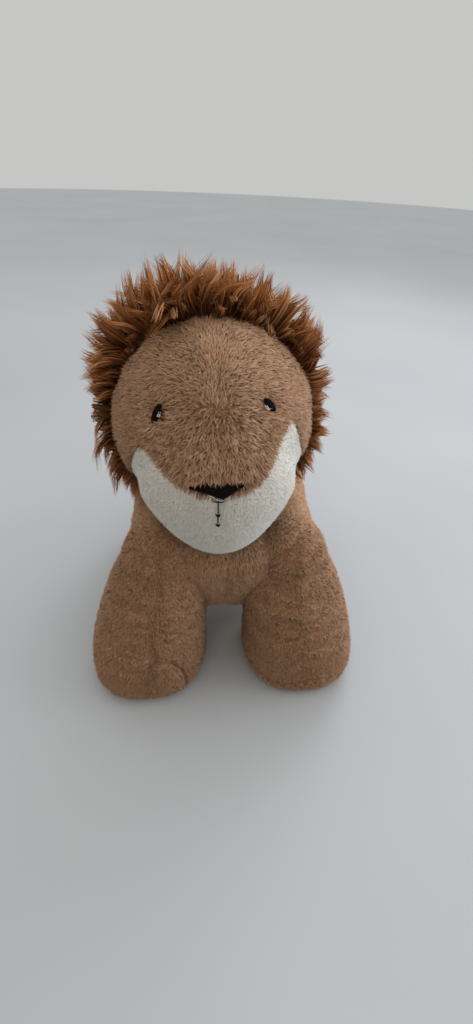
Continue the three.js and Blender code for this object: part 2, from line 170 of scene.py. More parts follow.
# %% One helper that makes a mesh object
def make_piece(name, points, faces, spots, material, outward=None):
    """An object from points in millimetres, a list of face arrays and the UV spots of their corners.
    outward, where given, is the direction that each point is shaded for."""
    mesh = bpy.data.meshes.new(name)
    corners = np.concatenate([part.ravel() for part in faces])
    sizes = np.concatenate([np.full(len(part), part.shape[1]) for part in faces])
    mesh.vertices.add(len(points))
    mesh.vertices.foreach_set("co", (points * MM).astype(np.float32).ravel())
    mesh.loops.add(len(corners))
    mesh.loops.foreach_set("vertex_index", corners.astype(np.int32))
    mesh.polygons.add(len(sizes))
    mesh.polygons.foreach_set("loop_start", (np.cumsum(sizes) - sizes).astype(np.int32))
    mesh.polygons.foreach_set("use_smooth", np.ones(len(sizes), bool))
    if spots is not None:
        layer = mesh.uv_layers.new(name="OFBake")
        layer.data.foreach_set("uv", np.concatenate([part.reshape(-1, 2) for part in spots])
                               .astype(np.float32).ravel())
    mesh.update(calc_edges=True)
    mesh.validate()
    if outward is not None:
        mesh.normals_split_custom_set_from_vertices(outward.astype(np.float32))
    mesh.materials.append(material)
    piece = bpy.data.objects.new(name, mesh)
    bpy.context.scene.collection.objects.link(piece)
    return piece


def seed_of(name):
    """A number that is always the same for a name, so that every run grows the same fur."""
    return np.random.default_rng(sum(ord(letter) * (place + 1) for place, letter in enumerate(name)))

# %% [markdown]
# ## Pile
#
# Plush is a knitted backing with a short pile of fine fibres that clings together in little tufts. No
# renderer needs every fibre. One narrow blade that bends over stands for a bunch of fibres, and the
# blades of one small patch lean together, which gives the soft, mottled look of brushed plush.
#
# Each blade also gets a spot on a UV map. Across the map goes its shade, from dark to light, and up
# the map goes the way from root to tip. The material reads nothing else, so the colour of every blade
# can be baked, however much the blades overlap.

# %% Scatter roots over cloth
def scatter(points, normals, faces, per_square_mm, random):
    """Random roots on the faces, and the normal at each."""
    a, b, c, d = (points[faces[:, k]] for k in range(4))
    area = np.linalg.norm(np.cross(c - a, d - b), axis=1) / 2
    count = np.floor(area * per_square_mm + random.random(len(faces))).astype(int)
    chosen = np.repeat(np.arange(len(faces)), count)
    s, t = random.random((2, len(chosen), 1))
    weights = [(1 - s) * (1 - t), s * (1 - t), s * t, (1 - s) * t]
    corners = faces[chosen]
    roots = sum(weight * points[corners[:, k]] for k, weight in enumerate(weights))
    upward = unit(sum(weight * normals[corners[:, k]] for k, weight in enumerate(weights)))
    return roots, upward


def patch_middles(roots, patch_size):
    """The middle of the small patch that each root belongs to. The patches are warped, so no grid shows."""
    warped = roots + 0.35 * patch_size * np.sin(roots[:, [1, 2, 0]] * (2.1 / patch_size))
    cell = np.floor(warped / patch_size).astype(np.int64)
    _, group = np.unique(cell, axis=0, return_inverse=True)
    group = group.ravel()
    total = np.stack([np.bincount(group, roots[:, k]) for k in range(3)], axis=1)
    return (total / np.bincount(group)[:, None])[group], group


# %% Grow blades of pile
SHADE_WIDTH = 1 / 96


def quad_spots(shade, low, high):
    """UV spots of a four-sided part of each blade, between two heights on the map."""
    heights = np.tile([low, low, high, high], (len(shade), 1))
    return np.stack([shade + SHADE_WIDTH * np.array([0, 1, 1, 0]), heights], axis=-1)


def tip_spots(shade, low):
    """UV spots of each blade's three-sided tip."""
    heights = np.tile([low, low, 1.0], (len(shade), 1))
    return np.stack([shade + SHADE_WIDTH * np.array([0, 1, 0.5]), heights], axis=-1)


def about_one(count, random):
    """A factor from 0.8 to 1.2 for each blade."""
    return 0.8 + 0.4 * random.random((count, 1))


def put_in_place(place, points, facing):
    """Points and the ways they face, moved by place."""
    return place(points), place(points + facing) - place(points)


def grow_pile(roots, upward, comb, trim, pile, random):
    """Blades from roots. comb is the way they lean, and its length, up to 1, is how flat they lie.
    trim is the share of the pile's length that is left at each root."""
    count = len(roots)
    middles, group = patch_middles(roots, pile["patch"])
    per_patch = random.random(group.max() + 1)[group]
    flow = comb + random.normal(0, pile["swirl"], (count, 3))
    flow -= upward * np.sum(flow * upward, axis=1, keepdims=True)
    flatness = np.clip(np.linalg.norm(flow, axis=1, keepdims=True), 0.15, 1)
    flow = unit(flow)
    length = pile["length"] * about_one(count, random) * trim[:, None]
    first = unit(upward + pile["lean"] * flatness * flow)
    second = unit(upward * (1 - 0.75 * flatness) + 1.6 * pile["lean"] * flatness * flow)
    base = roots - 0.3 * upward
    bend = roots + 0.5 * length * first
    tip = bend + 0.5 * length * second
    tip += pile["gather"] * (middles - roots) * (0.7 + 0.6 * random.random((count, 1)))
    turn = random.uniform(-0.9, 0.9, (count, 1))
    across = unit(np.cross(first, upward) + 1e-6)
    side = unit(across * np.cos(turn) + np.cross(across, first) * np.sin(turn))
    half = 0.5 * pile["width"] * about_one(count, random)
    points = np.stack([base - half * side, base + half * side,
                       bend - 0.9 * half * side, bend + 0.9 * half * side, tip], axis=1)
    rounded = unit(upward + pile["round"] * (roots - middles) / pile["patch"] + 0.25 * np.cross(first, side))
    first_point = 5 * np.arange(count)[:, None]
    lower = first_point + np.array([0, 1, 3, 2])
    upper = first_point + np.array([2, 3, 4])
    shade = pile["shade"] + pile["spread"] * (0.6 * (per_patch - 0.5) + 0.8 * (random.random(count) - 0.5))
    shade = np.clip(shade, 0, 1 - SHADE_WIDTH)[:, None]
    facing = np.repeat(rounded, 5, axis=0)
    return points.reshape(-1, 3), facing, lower, upper, quad_spots(shade, 0, 0.5), tip_spots(shade, 0.5)


# %% Sew one panel
SHORTEST_SHARE = 0.1


def sew_panel(name, points, normals, faces, comb, pile, material, trim=None, clear=None, place=None):
    """A panel of cloth with its pile. comb gives the way the pile leans at some points, trim gives the
    share of its length left there, clear holds points out of something, and place moves the panel."""
    random = seed_of(name)
    roots, upward = scatter(points, normals, faces, pile["density"], random)
    share = np.ones(len(roots)) if trim is None else trim(roots)
    stays = share > SHORTEST_SHARE
    roots, upward, share = roots[stays], upward[stays], share[stays]
    grown = grow_pile(roots, upward, comb(roots), share, pile, random)
    blades, blade_ways, lower, upper, lower_spots, upper_spots = grown
    used, corners = np.unique(faces, return_inverse=True)
    cloth = points[used]
    cloth_faces = corners.reshape(-1, 4)
    ground = np.clip(np.full((len(cloth_faces), 1), pile["shade"]), 0, 1 - SHADE_WIDTH)
    # The cloth under the pile takes its colour from low on the painted root shade, so it is painted darker
    # than the dye.
    cloth_spots = quad_spots(ground, 0.3, 0.4)
    everything = np.concatenate([cloth, blades])
    facing = np.concatenate([normals[used], blade_ways])
    if clear is not None:
        everything = clear(everything)
    if place is not None:
        everything, facing = put_in_place(place, everything, facing)
    offset = len(cloth)
    piece = make_piece(name, everything, [cloth_faces, lower + offset, upper + offset],
                       [cloth_spots, lower_spots, upper_spots], material, facing)
    print(f"{name}: {len(roots)} tufts, {len(piece.data.polygons)} faces")
    return piece


def attach(piece, body, slot, *nodes):
    """A piece that moves with a body and stands for some nodes, which are hidden. slot is not used."""
    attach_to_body(piece, body)
    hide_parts(*nodes)


# %% [markdown]
# ## Plush, as a material
#
# The fibre is dyed polyester. Each blade is painted darker from its tip down to its root, and so is the
# cloth between the blades: painted shade, for the little light that comes back from deep between the
# tufts. The fibres scatter light sideways, which gives plush its soft bright rim, and that is what
# the sheen is for.

# %% Material helpers
def linear(hex_colour):
    """An sRGB hex colour as the linear colour that shader sockets want."""
    levels = np.array([int(hex_colour[k:k + 2], 16) for k in (1, 3, 5)]) / 255
    linear_levels = np.where(levels <= 0.04045, levels / 12.92, ((levels + 0.055) / 1.055) ** 2.4)
    return (*linear_levels, 1.0)


def add_node(tree, kind, inputs=None, **settings):
    """A shader node with its settings. An input may be a value, another node's output, or a node,
    which stands for its first output."""
    made = tree.nodes.new("ShaderNode" + kind)
    for setting, value in settings.items():
        setattr(made, setting, value)
    for socket, value in (inputs or {}).items():
        if isinstance(value, bpy.types.Node):
            value = value.outputs[0]
        if isinstance(value, bpy.types.NodeSocket):
            tree.links.new(value, made.inputs[socket])
        else:
            made.inputs[socket].default_value = value
    return made


def new_material(name):
    """A material with an empty node tree, and that tree."""
    material = bpy.data.materials.new(name)
    material.use_nodes = True
    material.node_tree.nodes.clear()
    return material, material.node_tree


def set_ramp(node, stops):
    """The stops of a colour ramp, each a place from 0 to 1 and a hex colour."""
    elements = node.color_ramp.elements
    while len(elements) < len(stops):
        elements.new(0.5)
    for element, (place, colour) in zip(elements, stops):
        element.position = place
        element.color = linear(colour)
    return node


# %% Brushed pile
MIX_FACTOR, MIX_A, MIX_B, MIX_RESULT = 0, 6, 7, 2


def pile_material(name, shades, painted_root_shade, sheen, sheen_tint, roughness=0.9):
    """Dyed fibre. shades runs from the darkest tuft to the palest, and the second ramp paints shade towards
    each root.
    """
    material, tree = new_material(name)
    spot = add_node(tree, "UVMap", uv_map="OFBake")
    parts = add_node(tree, "SeparateXYZ", {0: spot})
    stretched = add_node(tree, "Mapping", {"Vector": spot, "Scale": (420, 3, 1)})
    strands = add_node(tree, "TexNoise", {"Vector": stretched, "Scale": 1.0, "Detail": 2.0},
                       noise_dimensions="2D")
    varied = add_node(tree, "Math", {0: strands, 1: 0.22, 2: -0.11}, operation="MULTIPLY_ADD")
    shade = add_node(tree, "Math", {0: parts, 1: varied}, operation="ADD")
    dye = set_ramp(add_node(tree, "ValToRGB", {0: shade}), shades)
    # Painted shade: each blade darkens towards its root, by its height on the map.
    depth = set_ramp(add_node(tree, "ValToRGB", {0: parts.outputs[1]}), painted_root_shade)
    colour = add_node(tree, "Mix", {MIX_FACTOR: 1.0, MIX_A: dye, MIX_B: depth},
                      data_type="RGBA", blend_type="MULTIPLY")
    fibre = add_node(tree, "BsdfPrincipled", {
        "Base Color": colour.outputs[MIX_RESULT],
        "Roughness": roughness,
        "Specular IOR Level": 0.08,
        "Sheen Weight": sheen,
        "Sheen Roughness": 0.45,
        "Sheen Tint": linear(sheen_tint),
    })
    add_node(tree, "OutputMaterial", {0: fibre})
    return material


# Each second ramp is painted shade, darkest at the roots. The mane's goes darkest, for the deep gaps between
# its locks.
brown_pile = pile_material("brown_brushed_pile", [(0, "#a57c5e"), (0.5, "#ca9f7d"), (1, "#ebc9aa")],
                           [(0, "#8f8580"), (0.45, "#dad6d4"), (1, "#ffffff")], 0.35, "#d9b394")
white_pile = pile_material("white_brushed_pile", [(0, "#f3f0e6"), (0.5, "#f9f6ec"), (1, "#fcfaf3")],
                           [(0, "#efedea"), (0.45, "#fafaf9"), (1, "#ffffff")], 0.3, "#ffffff")
sole_pile = pile_material("sole_brushed_pile", [(0, "#6d4d38"), (0.5, "#94705a"), (1, "#b8937a")],
                          [(0, "#5a5150"), (0.45, "#c8c4c2"), (1, "#ffffff")], 0.3, "#d9b394")
mane_pile = pile_material("mane_long_pile", [(0, "#94592f"), (0.5, "#c4844f"), (1, "#efbd88")],
                          [(0, "#32231c"), (0.35, "#8f7e74"), (0.7, "#e6ddd6"), (1, "#ffffff")],
                          0.25, "#e0a878", roughness=0.7)

# %% [markdown]
# ## How long and how thick the pile is
#
# The brown blades are 3 to 5 mm long and lie over, so the cloth of the body and the legs is drawn
# 1.5 mm inside the frame's solids, and the pile reaches them. The white chin is a finer, shorter plush.
# A blade is drawn 0.5 to 0.6 mm wide, because a finer one wouldn't show. Where the lion is seldom
# looked at, fewer and wider blades do.

# %% Kinds of pile, in millimetres
PILE_RISE = 1.5
brown_plush = {"density": 2.2, "length": 4.0, "width": 0.55, "lean": 0.95, "patch": 2.6, "gather": 0.35,
               "swirl": 0.3, "shade": 0.5, "spread": 0.45, "round": 0.5}
muzzle_plush = dict(brown_plush, density=1.9, length=5.0, width=0.62, lean=1.05, patch=3.4, gather=0.5,
                    spread=0.7)
# The front legs are the same cloth as the body, but their pile takes a darker shade of the dye: painted
# shade, for the weaker light on them.
front_leg_plush_painted_darker = dict(brown_plush, length=3.2, width=0.52, patch=2.3, swirl=0.4, shade=0.38)
back_plush = dict(brown_plush, density=0.9, width=0.95)
chin_plush = {"density": 3.4, "length": 2.1, "width": 0.5, "lean": 0.9, "patch": 1.9, "gather": 0.1,
              "swirl": 0.25, "shade": 0.5, "spread": 0.35, "round": 0.15}

# %% [markdown]
# ## Stuffing by simulation
#
# A stuffed panel is pulled tight between its seams, and the sewing draws each seam a little shorter
# than the cloth beside it. That is what makes the small puckers along a seam. A cloth simulation
# gives both: pressure from inside plays the stuffing, and the points of a seam are told to shrink. It
# is run ten times larger than life, where the solver is steady. Only the puckers are kept: the part
# of the movement that a whole neighbourhood shares is taken off, so the form keeps its size. The torso
# and the legs are pressed out like this. The head is left smooth, because puckers would throw dark
# specks on its white chin.

# %% Press the cloth out
SIMULATION_SCALE = 10.0
SIMULATION_FRAMES = 16
NEIGHBOURHOOD = 60  # rounds of averaging


def blurred(values, faces, rounds):
    """Values of points, averaged with those of their neighbours some rounds long."""
    corners = faces.ravel()
    shares = np.bincount(corners, minlength=len(values))[:, None]
    for _ in range(rounds):
        middles = np.repeat(values[faces].mean(axis=1), 4, axis=0)
        sums = [np.bincount(corners, middles[:, k], minlength=len(values)) for k in range(values.shape[1])]
        values = np.stack(sums, axis=1) / shares
    return values


def press_out(points, faces, seam_share, cap):
    """Points with the puckers of cloth that is pressed out from inside and shrinks where seam_share is
    near 1. No point moves further than cap."""
    mesh = bpy.data.meshes.new("cloth_to_stuff")
    mesh.from_pydata(points * MM * SIMULATION_SCALE, [], faces.tolist())
    cloth = bpy.data.objects.new("cloth_to_stuff", mesh)
    bpy.context.scene.collection.objects.link(cloth)
    seam = cloth.vertex_groups.new(name="seam")
    for point in np.flatnonzero(seam_share > 0.05):
        seam.add([int(point)], float(seam_share[point]), "REPLACE")
    pressed = cloth.modifiers.new("stuffing", "CLOTH")
    settings = pressed.settings
    settings.quality = 5
    settings.tension_stiffness = 12
    settings.compression_stiffness = 12
    settings.bending_stiffness = 0.2
    settings.use_pressure = True
    settings.uniform_pressure_force = 3.0
    settings.vertex_group_shrink = "seam"
    settings.shrink_min = -0.02
    settings.shrink_max = 0.2
    settings.effector_weights.gravity = 0
    pressed.point_cache.frame_end = SIMULATION_FRAMES
    for frame_number in range(1, SIMULATION_FRAMES + 1):
        bpy.context.scene.frame_set(frame_number)
    worn = cloth.evaluated_get(bpy.context.evaluated_depsgraph_get()).to_mesh()
    places = np.empty(3 * len(points), np.float32)
    worn.vertices.foreach_get("co", places)
    move = places.reshape(-1, 3) / (MM * SIMULATION_SCALE) - points
    bpy.context.scene.frame_set(1)
    bpy.data.objects.remove(cloth)
    bpy.data.meshes.remove(mesh)
    move -= blurred(move, faces, NEIGHBOURHOOD)
    far = np.linalg.norm(move, axis=1, keepdims=True)
    move *= np.minimum(1, cap / np.maximum(far, 1e-6))
    print(f"puckers: mean {far.mean():.2f} mm, most {far.max():.2f} mm")
    return points + move


# %% [markdown]
# ## The head's cloth
#
# The head is a round skull with a soft egg of a muzzle in front. Sewn from flat panels and stuffed, the
# two run into each other in one smooth curve. Here the surface is found by looking out from a
# point inside, and taking the further of the two forms in every direction, with a soft step between.
#
# The directions come from the six sides of a cube, so the faces are much the same size everywhere.

# %% The head's form
LEAN_TURN = rotation("Y", -2.5) @ rotation("Z", 0.5)
skull_radius = 60.0
muzzle_middle = np.array([0.0, -40.0, -23.0])
muzzle_half = np.array([45.0, 35.0, 47.0])
chin_taper = 0.4
inside_head = np.array([0.0, -20.0, -12.0])


def to_row(points):
    """From round the middle of the skull to the row's frame."""
    return points @ LEAN_TURN.T + neck_place


def ball_grid(cells):
    """Directions all round a ball, from the six sides of a cube, and the faces between them."""
    steps = np.tan(np.linspace(-np.pi / 4, np.pi / 4, cells + 1))
    u, v = np.meshgrid(steps, steps, indexing="ij")
    one = np.ones_like(u)
    sides = [(u, v, one), (v, u, -one), (one, u, v), (-one, v, u), (v, one, u), (u, -one, v)]
    every = np.concatenate([np.stack(side, axis=-1).reshape(-1, 3) for side in sides])
    index = np.arange((cells + 1) ** 2).reshape(cells + 1, cells + 1)
    square = np.stack([index[:-1, :-1], index[1:, :-1], index[1:, 1:], index[:-1, 1:]], axis=-1)
    faces = np.concatenate([square.reshape(-1, 4) + k * index.size for k in range(6)])
    _, kept, merged = np.unique(every.round(5), axis=0, return_index=True, return_inverse=True)
    return unit(every[kept]), merged.ravel()[faces]


def reach(directions, middle, half):
    """How far an egg's skin lies from the point inside the head."""
    start = (inside_head - middle) / half
    way = directions / half
    a = np.sum(way * way, axis=-1)
    b = np.sum(way * start, axis=-1)
    c = np.sum(start * start, axis=-1) - 1
    return (-b + np.sqrt(b * b - a * c)) / a


def head_reach(directions):
    """How far the head's skin lies, with a soft step where the muzzle meets the skull. Low down the
    muzzle narrows to the chin."""
    skull = reach(directions, np.zeros(3), np.full(3, skull_radius))
    narrow = 1 - chin_taper * clamp(-directions[..., 2] - 0.25)
    half = np.stack([muzzle_half[0] * narrow, muzzle_half[1] + 0 * narrow, muzzle_half[2] + 0 * narrow],
                    axis=-1)
    snout = reach(directions, muzzle_middle, half)
    return (skull ** 18 + snout ** 18) ** (1 / 18)


def face_point(x, z, lift=0.0):
    """The point on the front of the head at a place across and up, raised off the cloth by lift."""
    x, z = np.broadcast_arrays(np.asarray(x, float), np.asarray(z, float))
    near, far = np.full(x.shape, -20.0), np.full(x.shape, -95.0)
    for _ in range(30):
        middle = (near + far) / 2
        way = np.stack([x, middle, z], axis=-1) - inside_head
        distance = np.linalg.norm(way, axis=-1)
        within = distance < head_reach(way / distance[..., None]) + lift
        near, far = np.where(within, middle, near), np.where(within, far, middle)
    return np.stack([x, near, z], axis=-1)


# %% [markdown]
# ## Seams of the face
#
# Four panels make the face. A seam runs up the middle of the forehead, one crosses between the eyes,
# and the white chin's seam sweeps up to a tip on each cheek. A seam pulls the cloth in, and the pile is
# short beside it, which is what shows: a soft dark line.

# %% Seams of the face
mane_edge = -3.0
chin_line = np.array([[-52.5, -60], [-50.5, -16], [-48.3, -7], [-45.4, 1], [-42.5, 5], [-39.5, 6.6],
                      [-36.5, 5.4], [-32.6, 3.6], [-24.7, -2.5], [-18, -6], [-11, -8.8], [0, -10.4],
                      [9, -9.4], [20, -5.7], [26.5, 0], [32, 8.5], [36, 13.5], [38.7, 15.3], [41.4, 14.6],
                      [44, 12], [46.8, 4], [49.8, -6], [53, -15], [54.5, -60]])
eye_line = np.array([[-43, 7.5], [-38, 19], [-30, 27], [-14, 30], [0, 30.2], [3, 27.4], [6, 29.8], [14, 30],
                     [30, 24], [38, 18], [42, 15.5]])


def along(line, count):
    """Points spread evenly along a bent line."""
    step = np.concatenate([[0], np.cumsum(np.linalg.norm(np.diff(line, axis=0), axis=1))])
    spread = np.linspace(0, step[-1], count)
    return np.stack([np.interp(spread, step, line[:, k]) for k in range(line.shape[1])], axis=1)


def line_seam(line, count=90):
    """A seam on the face, from its places across and up."""
    spread = along(line, count)
    return face_point(spread[:, 0], spread[:, 1])


def forehead_seam():
    """The seam that runs from the mane down to the seam between the eyes."""
    angles = np.linspace(np.radians(93), np.radians(151), 60)
    way = columns(0.012, np.cos(angles), np.sin(angles))
    return inside_head + head_reach(unit(way))[:, None] * unit(way)


def distance_to(points, marks):
    """How far each point is from the nearest mark."""
    nearest = np.empty(len(points))
    for first in range(0, len(points), 4000):
        part = points[first:first + 4000, None]
        nearest[first:first + 4000] = np.sqrt(np.min(np.sum((part - marks) ** 2, axis=-1), axis=1))
    return nearest


face_seams = np.concatenate([line_seam(chin_line[1:-1], 200), line_seam(eye_line), forehead_seam()])
mouth_dip = face_point(np.full(20, -1.9), np.linspace(-11, -28, 20))
eye_places = np.stack([face_point(28.4, 28.0), face_point(-31.0, 25.4)])

# %% Shape the head
def lumps(points, size, height):
    """The gentle unevenness of hand stuffed fibre."""
    wave = np.sin(points @ np.array([1.0, 0.4, 0.7]) / size)
    wave += np.sin(points @ np.array([-0.6, 1.0, 0.3]) / size + 1.7)
    wave += np.sin(points @ np.array([0.2, -0.5, 1.1]) / size + 4.1)
    return height * wave[:, None] / 3


head_cells = 52
head_ways, head_faces = ball_grid(head_cells)
head_cloth = inside_head + head_reach(head_ways)[:, None] * head_ways
head_outward = point_normals(head_cloth, head_faces)
dips = ((face_seams, 0.5, 2.0), (eye_places, 2.6, 7.0), (mouth_dip, 1.2, 3.0))  # depth and width
dip = sum(depth * close_to(distance_to(head_cloth, marks), width) for marks, depth, width in dips)
head_cloth += head_outward * (lumps(head_cloth, 14, 0.7) - dip[:, None])
head_outward = point_normals(head_cloth, head_faces)
print("head cloth:", len(head_cloth), "points,", len(head_faces), "faces")

# %% Sort the head's faces into panels
centre = head_cloth[head_faces].mean(axis=1)
over_chin = centre[:, 2] > np.interp(centre[:, 0], chin_line[:, 0], chin_line[:, 1])
over_eyes = centre[:, 2] > np.interp(centre[:, 0], eye_line[:, 0], eye_line[:, 1], left=7, right=11)
in_front = centre[:, 1] < mane_edge
leftward = centre[:, 0] > 0
wide = np.abs(centre[:, 0]) > 45
panel_faces = {
    "chin": head_faces[in_front & ~over_chin],
    "muzzle": head_faces[in_front & over_chin & ~over_eyes & ~wide],
    "forehead_left": head_faces[in_front & over_chin & (over_eyes | wide) & leftward],
    "forehead_right": head_faces[in_front & over_chin & (over_eyes | wide) & ~leftward],
    "mane_left": head_faces[~in_front & leftward],
    "mane_right": head_faces[~in_front & ~leftward],
}
for panel, faces in panel_faces.items():
    print(panel, len(faces), "faces")

# %% [markdown]
# ## Which way the face's pile lies
#
# On the forehead the pile is brushed up along the middle seam, and outward and down beside it. On the
# muzzle it fans out from the notch between the eyes. On the chin it lies down and a little back.

# %% Comb and trim the face
notch = np.array([2.0, -44.0, 30.0])


def comb_forehead(points):
    """Up along the middle seam, and outward and down beside it, with a soft wave."""
    side = np.tanh(points[:, 0] / 13)
    wave = 0.4 * np.sin(points[:, 0] / 6 + points[:, 2] / 4)
    middle = 1 - np.abs(side)
    return columns(0.8 * side, 0.15 + 0.4 * middle, 0.7 * wave - 0.35 + middle)


def comb_muzzle(points):
    """Fanned out from the notch between the eyes."""
    return unit(points - notch) * 0.8


def comb_chin(points):
    """Down, a little back and out to the sides."""
    return columns(points[:, 0] / 60, 0.2, -0.7)


nose_top = np.array([[-17.5, -4.6], [-9.4, -1.4], [0, -1.6], [11.1, -2.2], [15, -3.4]])
nose_bottom = np.array([[-17.5, -5.2], [-10.9, -6.8], [-5.3, -8.6], [1.2, -11.4], [7.9, -7.2], [15, -4.2]])


def under_nose(points):
    """Whether points on the face lie under the nose's stitches."""
    high = np.interp(points[:, 0], nose_top[:, 0], nose_top[:, 1])
    low = np.interp(points[:, 0], nose_bottom[:, 0], nose_bottom[:, 1])
    inside = (points[:, 2] < high) & (points[:, 2] > low) & (points[:, 1] < -50)
    return inside & (points[:, 0] > nose_top[0, 0]) & (points[:, 0] < nose_top[-1, 0])


def trim_face(points):
    """Short beside the seams, and none under the stitches or where the neck is sewn on."""
    share = 0.85 + 0.15 * clamp(distance_to(points, face_seams) / 2.0)
    share *= clamp(distance_to(points, eye_places) / 4.0 - 0.4)
    share *= np.clip(distance_to(points, mouth_dip) / 2.4, 0.3, 1)
    share *= ~under_nose(points)
    return share * (points[:, 2] > -0.93 * np.linalg.norm(points, axis=1))


# %% Sew the face
face_panels = {
    "chin": ("chin_pile", comb_chin, chin_plush, white_pile, "chin_white", "chin_panel"),
    "muzzle": ("muzzle_pile", comb_muzzle, muzzle_plush, brown_pile, "plush_brown", "muzzle_panel"),
    "forehead_left": ("forehead_left_pile", comb_forehead, brown_plush, brown_pile, "plush_brown",
                      "forehead_left_panel"),
    "forehead_right": ("forehead_right_pile", comb_forehead, brown_plush, brown_pile, "plush_brown",
                       "forehead_right_panel"),
}
for panel, (name, comb, pile, material, slot, node) in face_panels.items():
    piece = sew_panel(name, head_cloth, head_outward, panel_faces[panel], comb, pile, material,
                      trim=trim_face, place=to_row)
    attach(piece, "head", slot, node)

# %% [markdown]
# ## The mane
#
# The mane is long pile fur. Its fibres have clung together into pointed locks, each some 5 mm thick,
# that stand 10 to 40 mm out from the head and curl a little. A short undercoat covers the backing
# first, and then every lock is made of two dozen narrow strands that start round its root and stay a
# little apart at its tip. The undercoat's dark shade and the strong darkening towards every root are
# painted shade, for the shade deep between the locks.

# %% Long locks
def grow_locks(roots, outward, tips, lock, random):
    """Pointed locks from roots to tips, which leave the cloth along outward."""
    per_lock = lock["strands"]
    count = len(roots) * per_lock
    root, way, tip = (np.repeat(part, per_lock, axis=0) for part in (roots, outward, tips))
    span = np.linalg.norm(tip - root, axis=1, keepdims=True)
    aside = unit(np.cross(way, [0.31, 0.83, 0.46]))
    other = np.cross(way, aside)
    angle = random.uniform(0, 2 * np.pi, (count, 1))
    lock_size = np.repeat(random.uniform(0.75, 1.25, (len(roots), 1)), per_lock, axis=0)
    radius = lock["radius"] * lock_size * np.sqrt(random.random((count, 1)))
    offset = radius * (np.cos(angle) * aside + np.sin(angle) * other)
    end = root + (tip - root) * random.uniform(0.78, 1.03, (count, 1))
    bend = np.repeat(random.normal(0, lock["curl"], roots.shape), per_lock, axis=0)
    control = root + way * span * random.uniform(0.45, 0.6, (count, 1)) + bend
    stations = np.array([0, 0.3, 0.62, 1.0])  # from root to tip
    gathered = np.array([0.9, 1.2, 1.3, 0.7])
    t = stations[None, :, None]
    line = (1 - t) ** 2 * root[:, None] + 2 * t * (1 - t) * control[:, None] + t ** 2 * end[:, None]
    line = line + offset[:, None] * gathered[None, :, None]
    forward = unit(line[:, 2] - line[:, 0])
    turn = random.uniform(0, np.pi, (count, 1))
    across = unit(np.cross(forward, way) + 1e-4 * aside)
    side = across * np.cos(turn) + np.cross(forward, across) * np.sin(turn)
    radial = unit(offset + 1e-6 * way)
    side *= np.where(np.sum(np.cross(side, forward) * radial, axis=1, keepdims=True) < 0, -1.0, 1.0)
    facing = unit(0.9 * radial + 0.5 * np.cross(side, forward) + 0.3 * way)
    half = 0.5 * lock["width"] * random.uniform(0.7, 1.2, (count, 1))
    wide = np.array([0.9, 1.0, 0.7])
    left = line[:, :3] - (half * side)[:, None] * wide[None, :, None]
    right = line[:, :3] + (half * side)[:, None] * wide[None, :, None]
    points = np.concatenate([np.stack([left, right], axis=2).reshape(count, 6, 3), line[:, 3:]], axis=1)
    first_point = 7 * np.arange(count)[:, None]
    quads = np.concatenate([first_point + np.array([0, 1, 3, 2]), first_point + np.array([2, 3, 5, 4])])
    ends = first_point + np.array([4, 5, 6])
    lock_shade = np.repeat(random.random(len(roots)), per_lock)
    shade = lock["shade"] + lock["spread"] * (0.7 * (lock_shade - 0.5) + 0.6 * (random.random(count) - 0.5))
    shade = np.clip(shade, 0, 1 - SHADE_WIDTH)[:, None]
    spots = np.concatenate([quad_spots(shade, low, high) for low, high in zip(stations[:2], stations[1:3])])
    facing = np.repeat(facing, 7, axis=0)
    return points.reshape(-1, 3), facing, quads, ends, spots, tip_spots(shade, stations[2])


def make_locks(name, roots, outward, tips, lock, material, place=None):
    """A piece of locks alone, sewn into the cloth by their roots."""
    points, facing, quads, ends, quad_spots, end_spots = grow_locks(roots, outward, tips, lock, seed_of(name))
    if place is not None:
        points, facing = put_in_place(place, points, facing)
    piece = make_piece(name, points, [quads, ends], [quad_spots, end_spots], material, facing)
    print(f"{name}: {len(roots)} locks, {len(piece.data.polygons)} faces")
    return piece


# %% Where the mane's locks go
mane_middle = np.array([0.0, 6.0, 2.0])
mane_half = np.array([77.0, 70.0, 84.0])
mane_power = 2.5
hem_low = -49.0
hem_rise = np.tan(np.radians(16))
full_side = unit(np.array([-0.46, 0.1, 0.88]))
full_side_gain = 0.32
longest_lock = 30.0
mane_spacing = 3.8
mane_lock = {"strands": 24, "radius": 2.4, "width": 0.8, "shade": 0.5, "spread": 0.9, "curl": 3.5}
# The undercoat's low shade is painted shade, for the dark deep between the locks.
mane_undercoat_painted_dark = {"density": 0.55, "length": 9.0, "width": 1.2, "lean": 0.5, "patch": 5.0, "gather": 0.3,
              "swirl": 0.3, "shade": 0.12, "spread": 0.2, "round": 0.3}


def spread_ways(spacing_mm, radius):
    """Directions spread evenly over a ball, like the seeds of a sunflower."""
    count = int(4 * np.pi * radius ** 2 / spacing_mm ** 2)
    step = np.arange(count) + 0.5
    height = 1 - 2 * step / count
    angle = np.pi * (1 + 5 ** 0.5) * step
    flat = np.sqrt(1 - height ** 2)
    return columns(flat * np.cos(angle), flat * np.sin(angle), height)


def in_mane(points):
    """Whether points lie in the mane's squarish egg."""
    place = np.abs(points - mane_middle) / mane_half
    across = (place[:, 0] ** mane_power + place[:, 2] ** mane_power) ** (2 / mane_power)
    return across + place[:, 1] ** 2 < 1


def drift(points, size):
    """A slow sideways sway, so that neighbouring locks lean much the same way."""
    turned = points @ np.array([[0.9, 0.3, -0.4], [-0.5, 0.8, 0.3], [0.2, -0.6, 0.9]]) / size
    return np.sin(turned + 1.3) * np.cos(np.roll(turned, 1, axis=1) * 1.7)


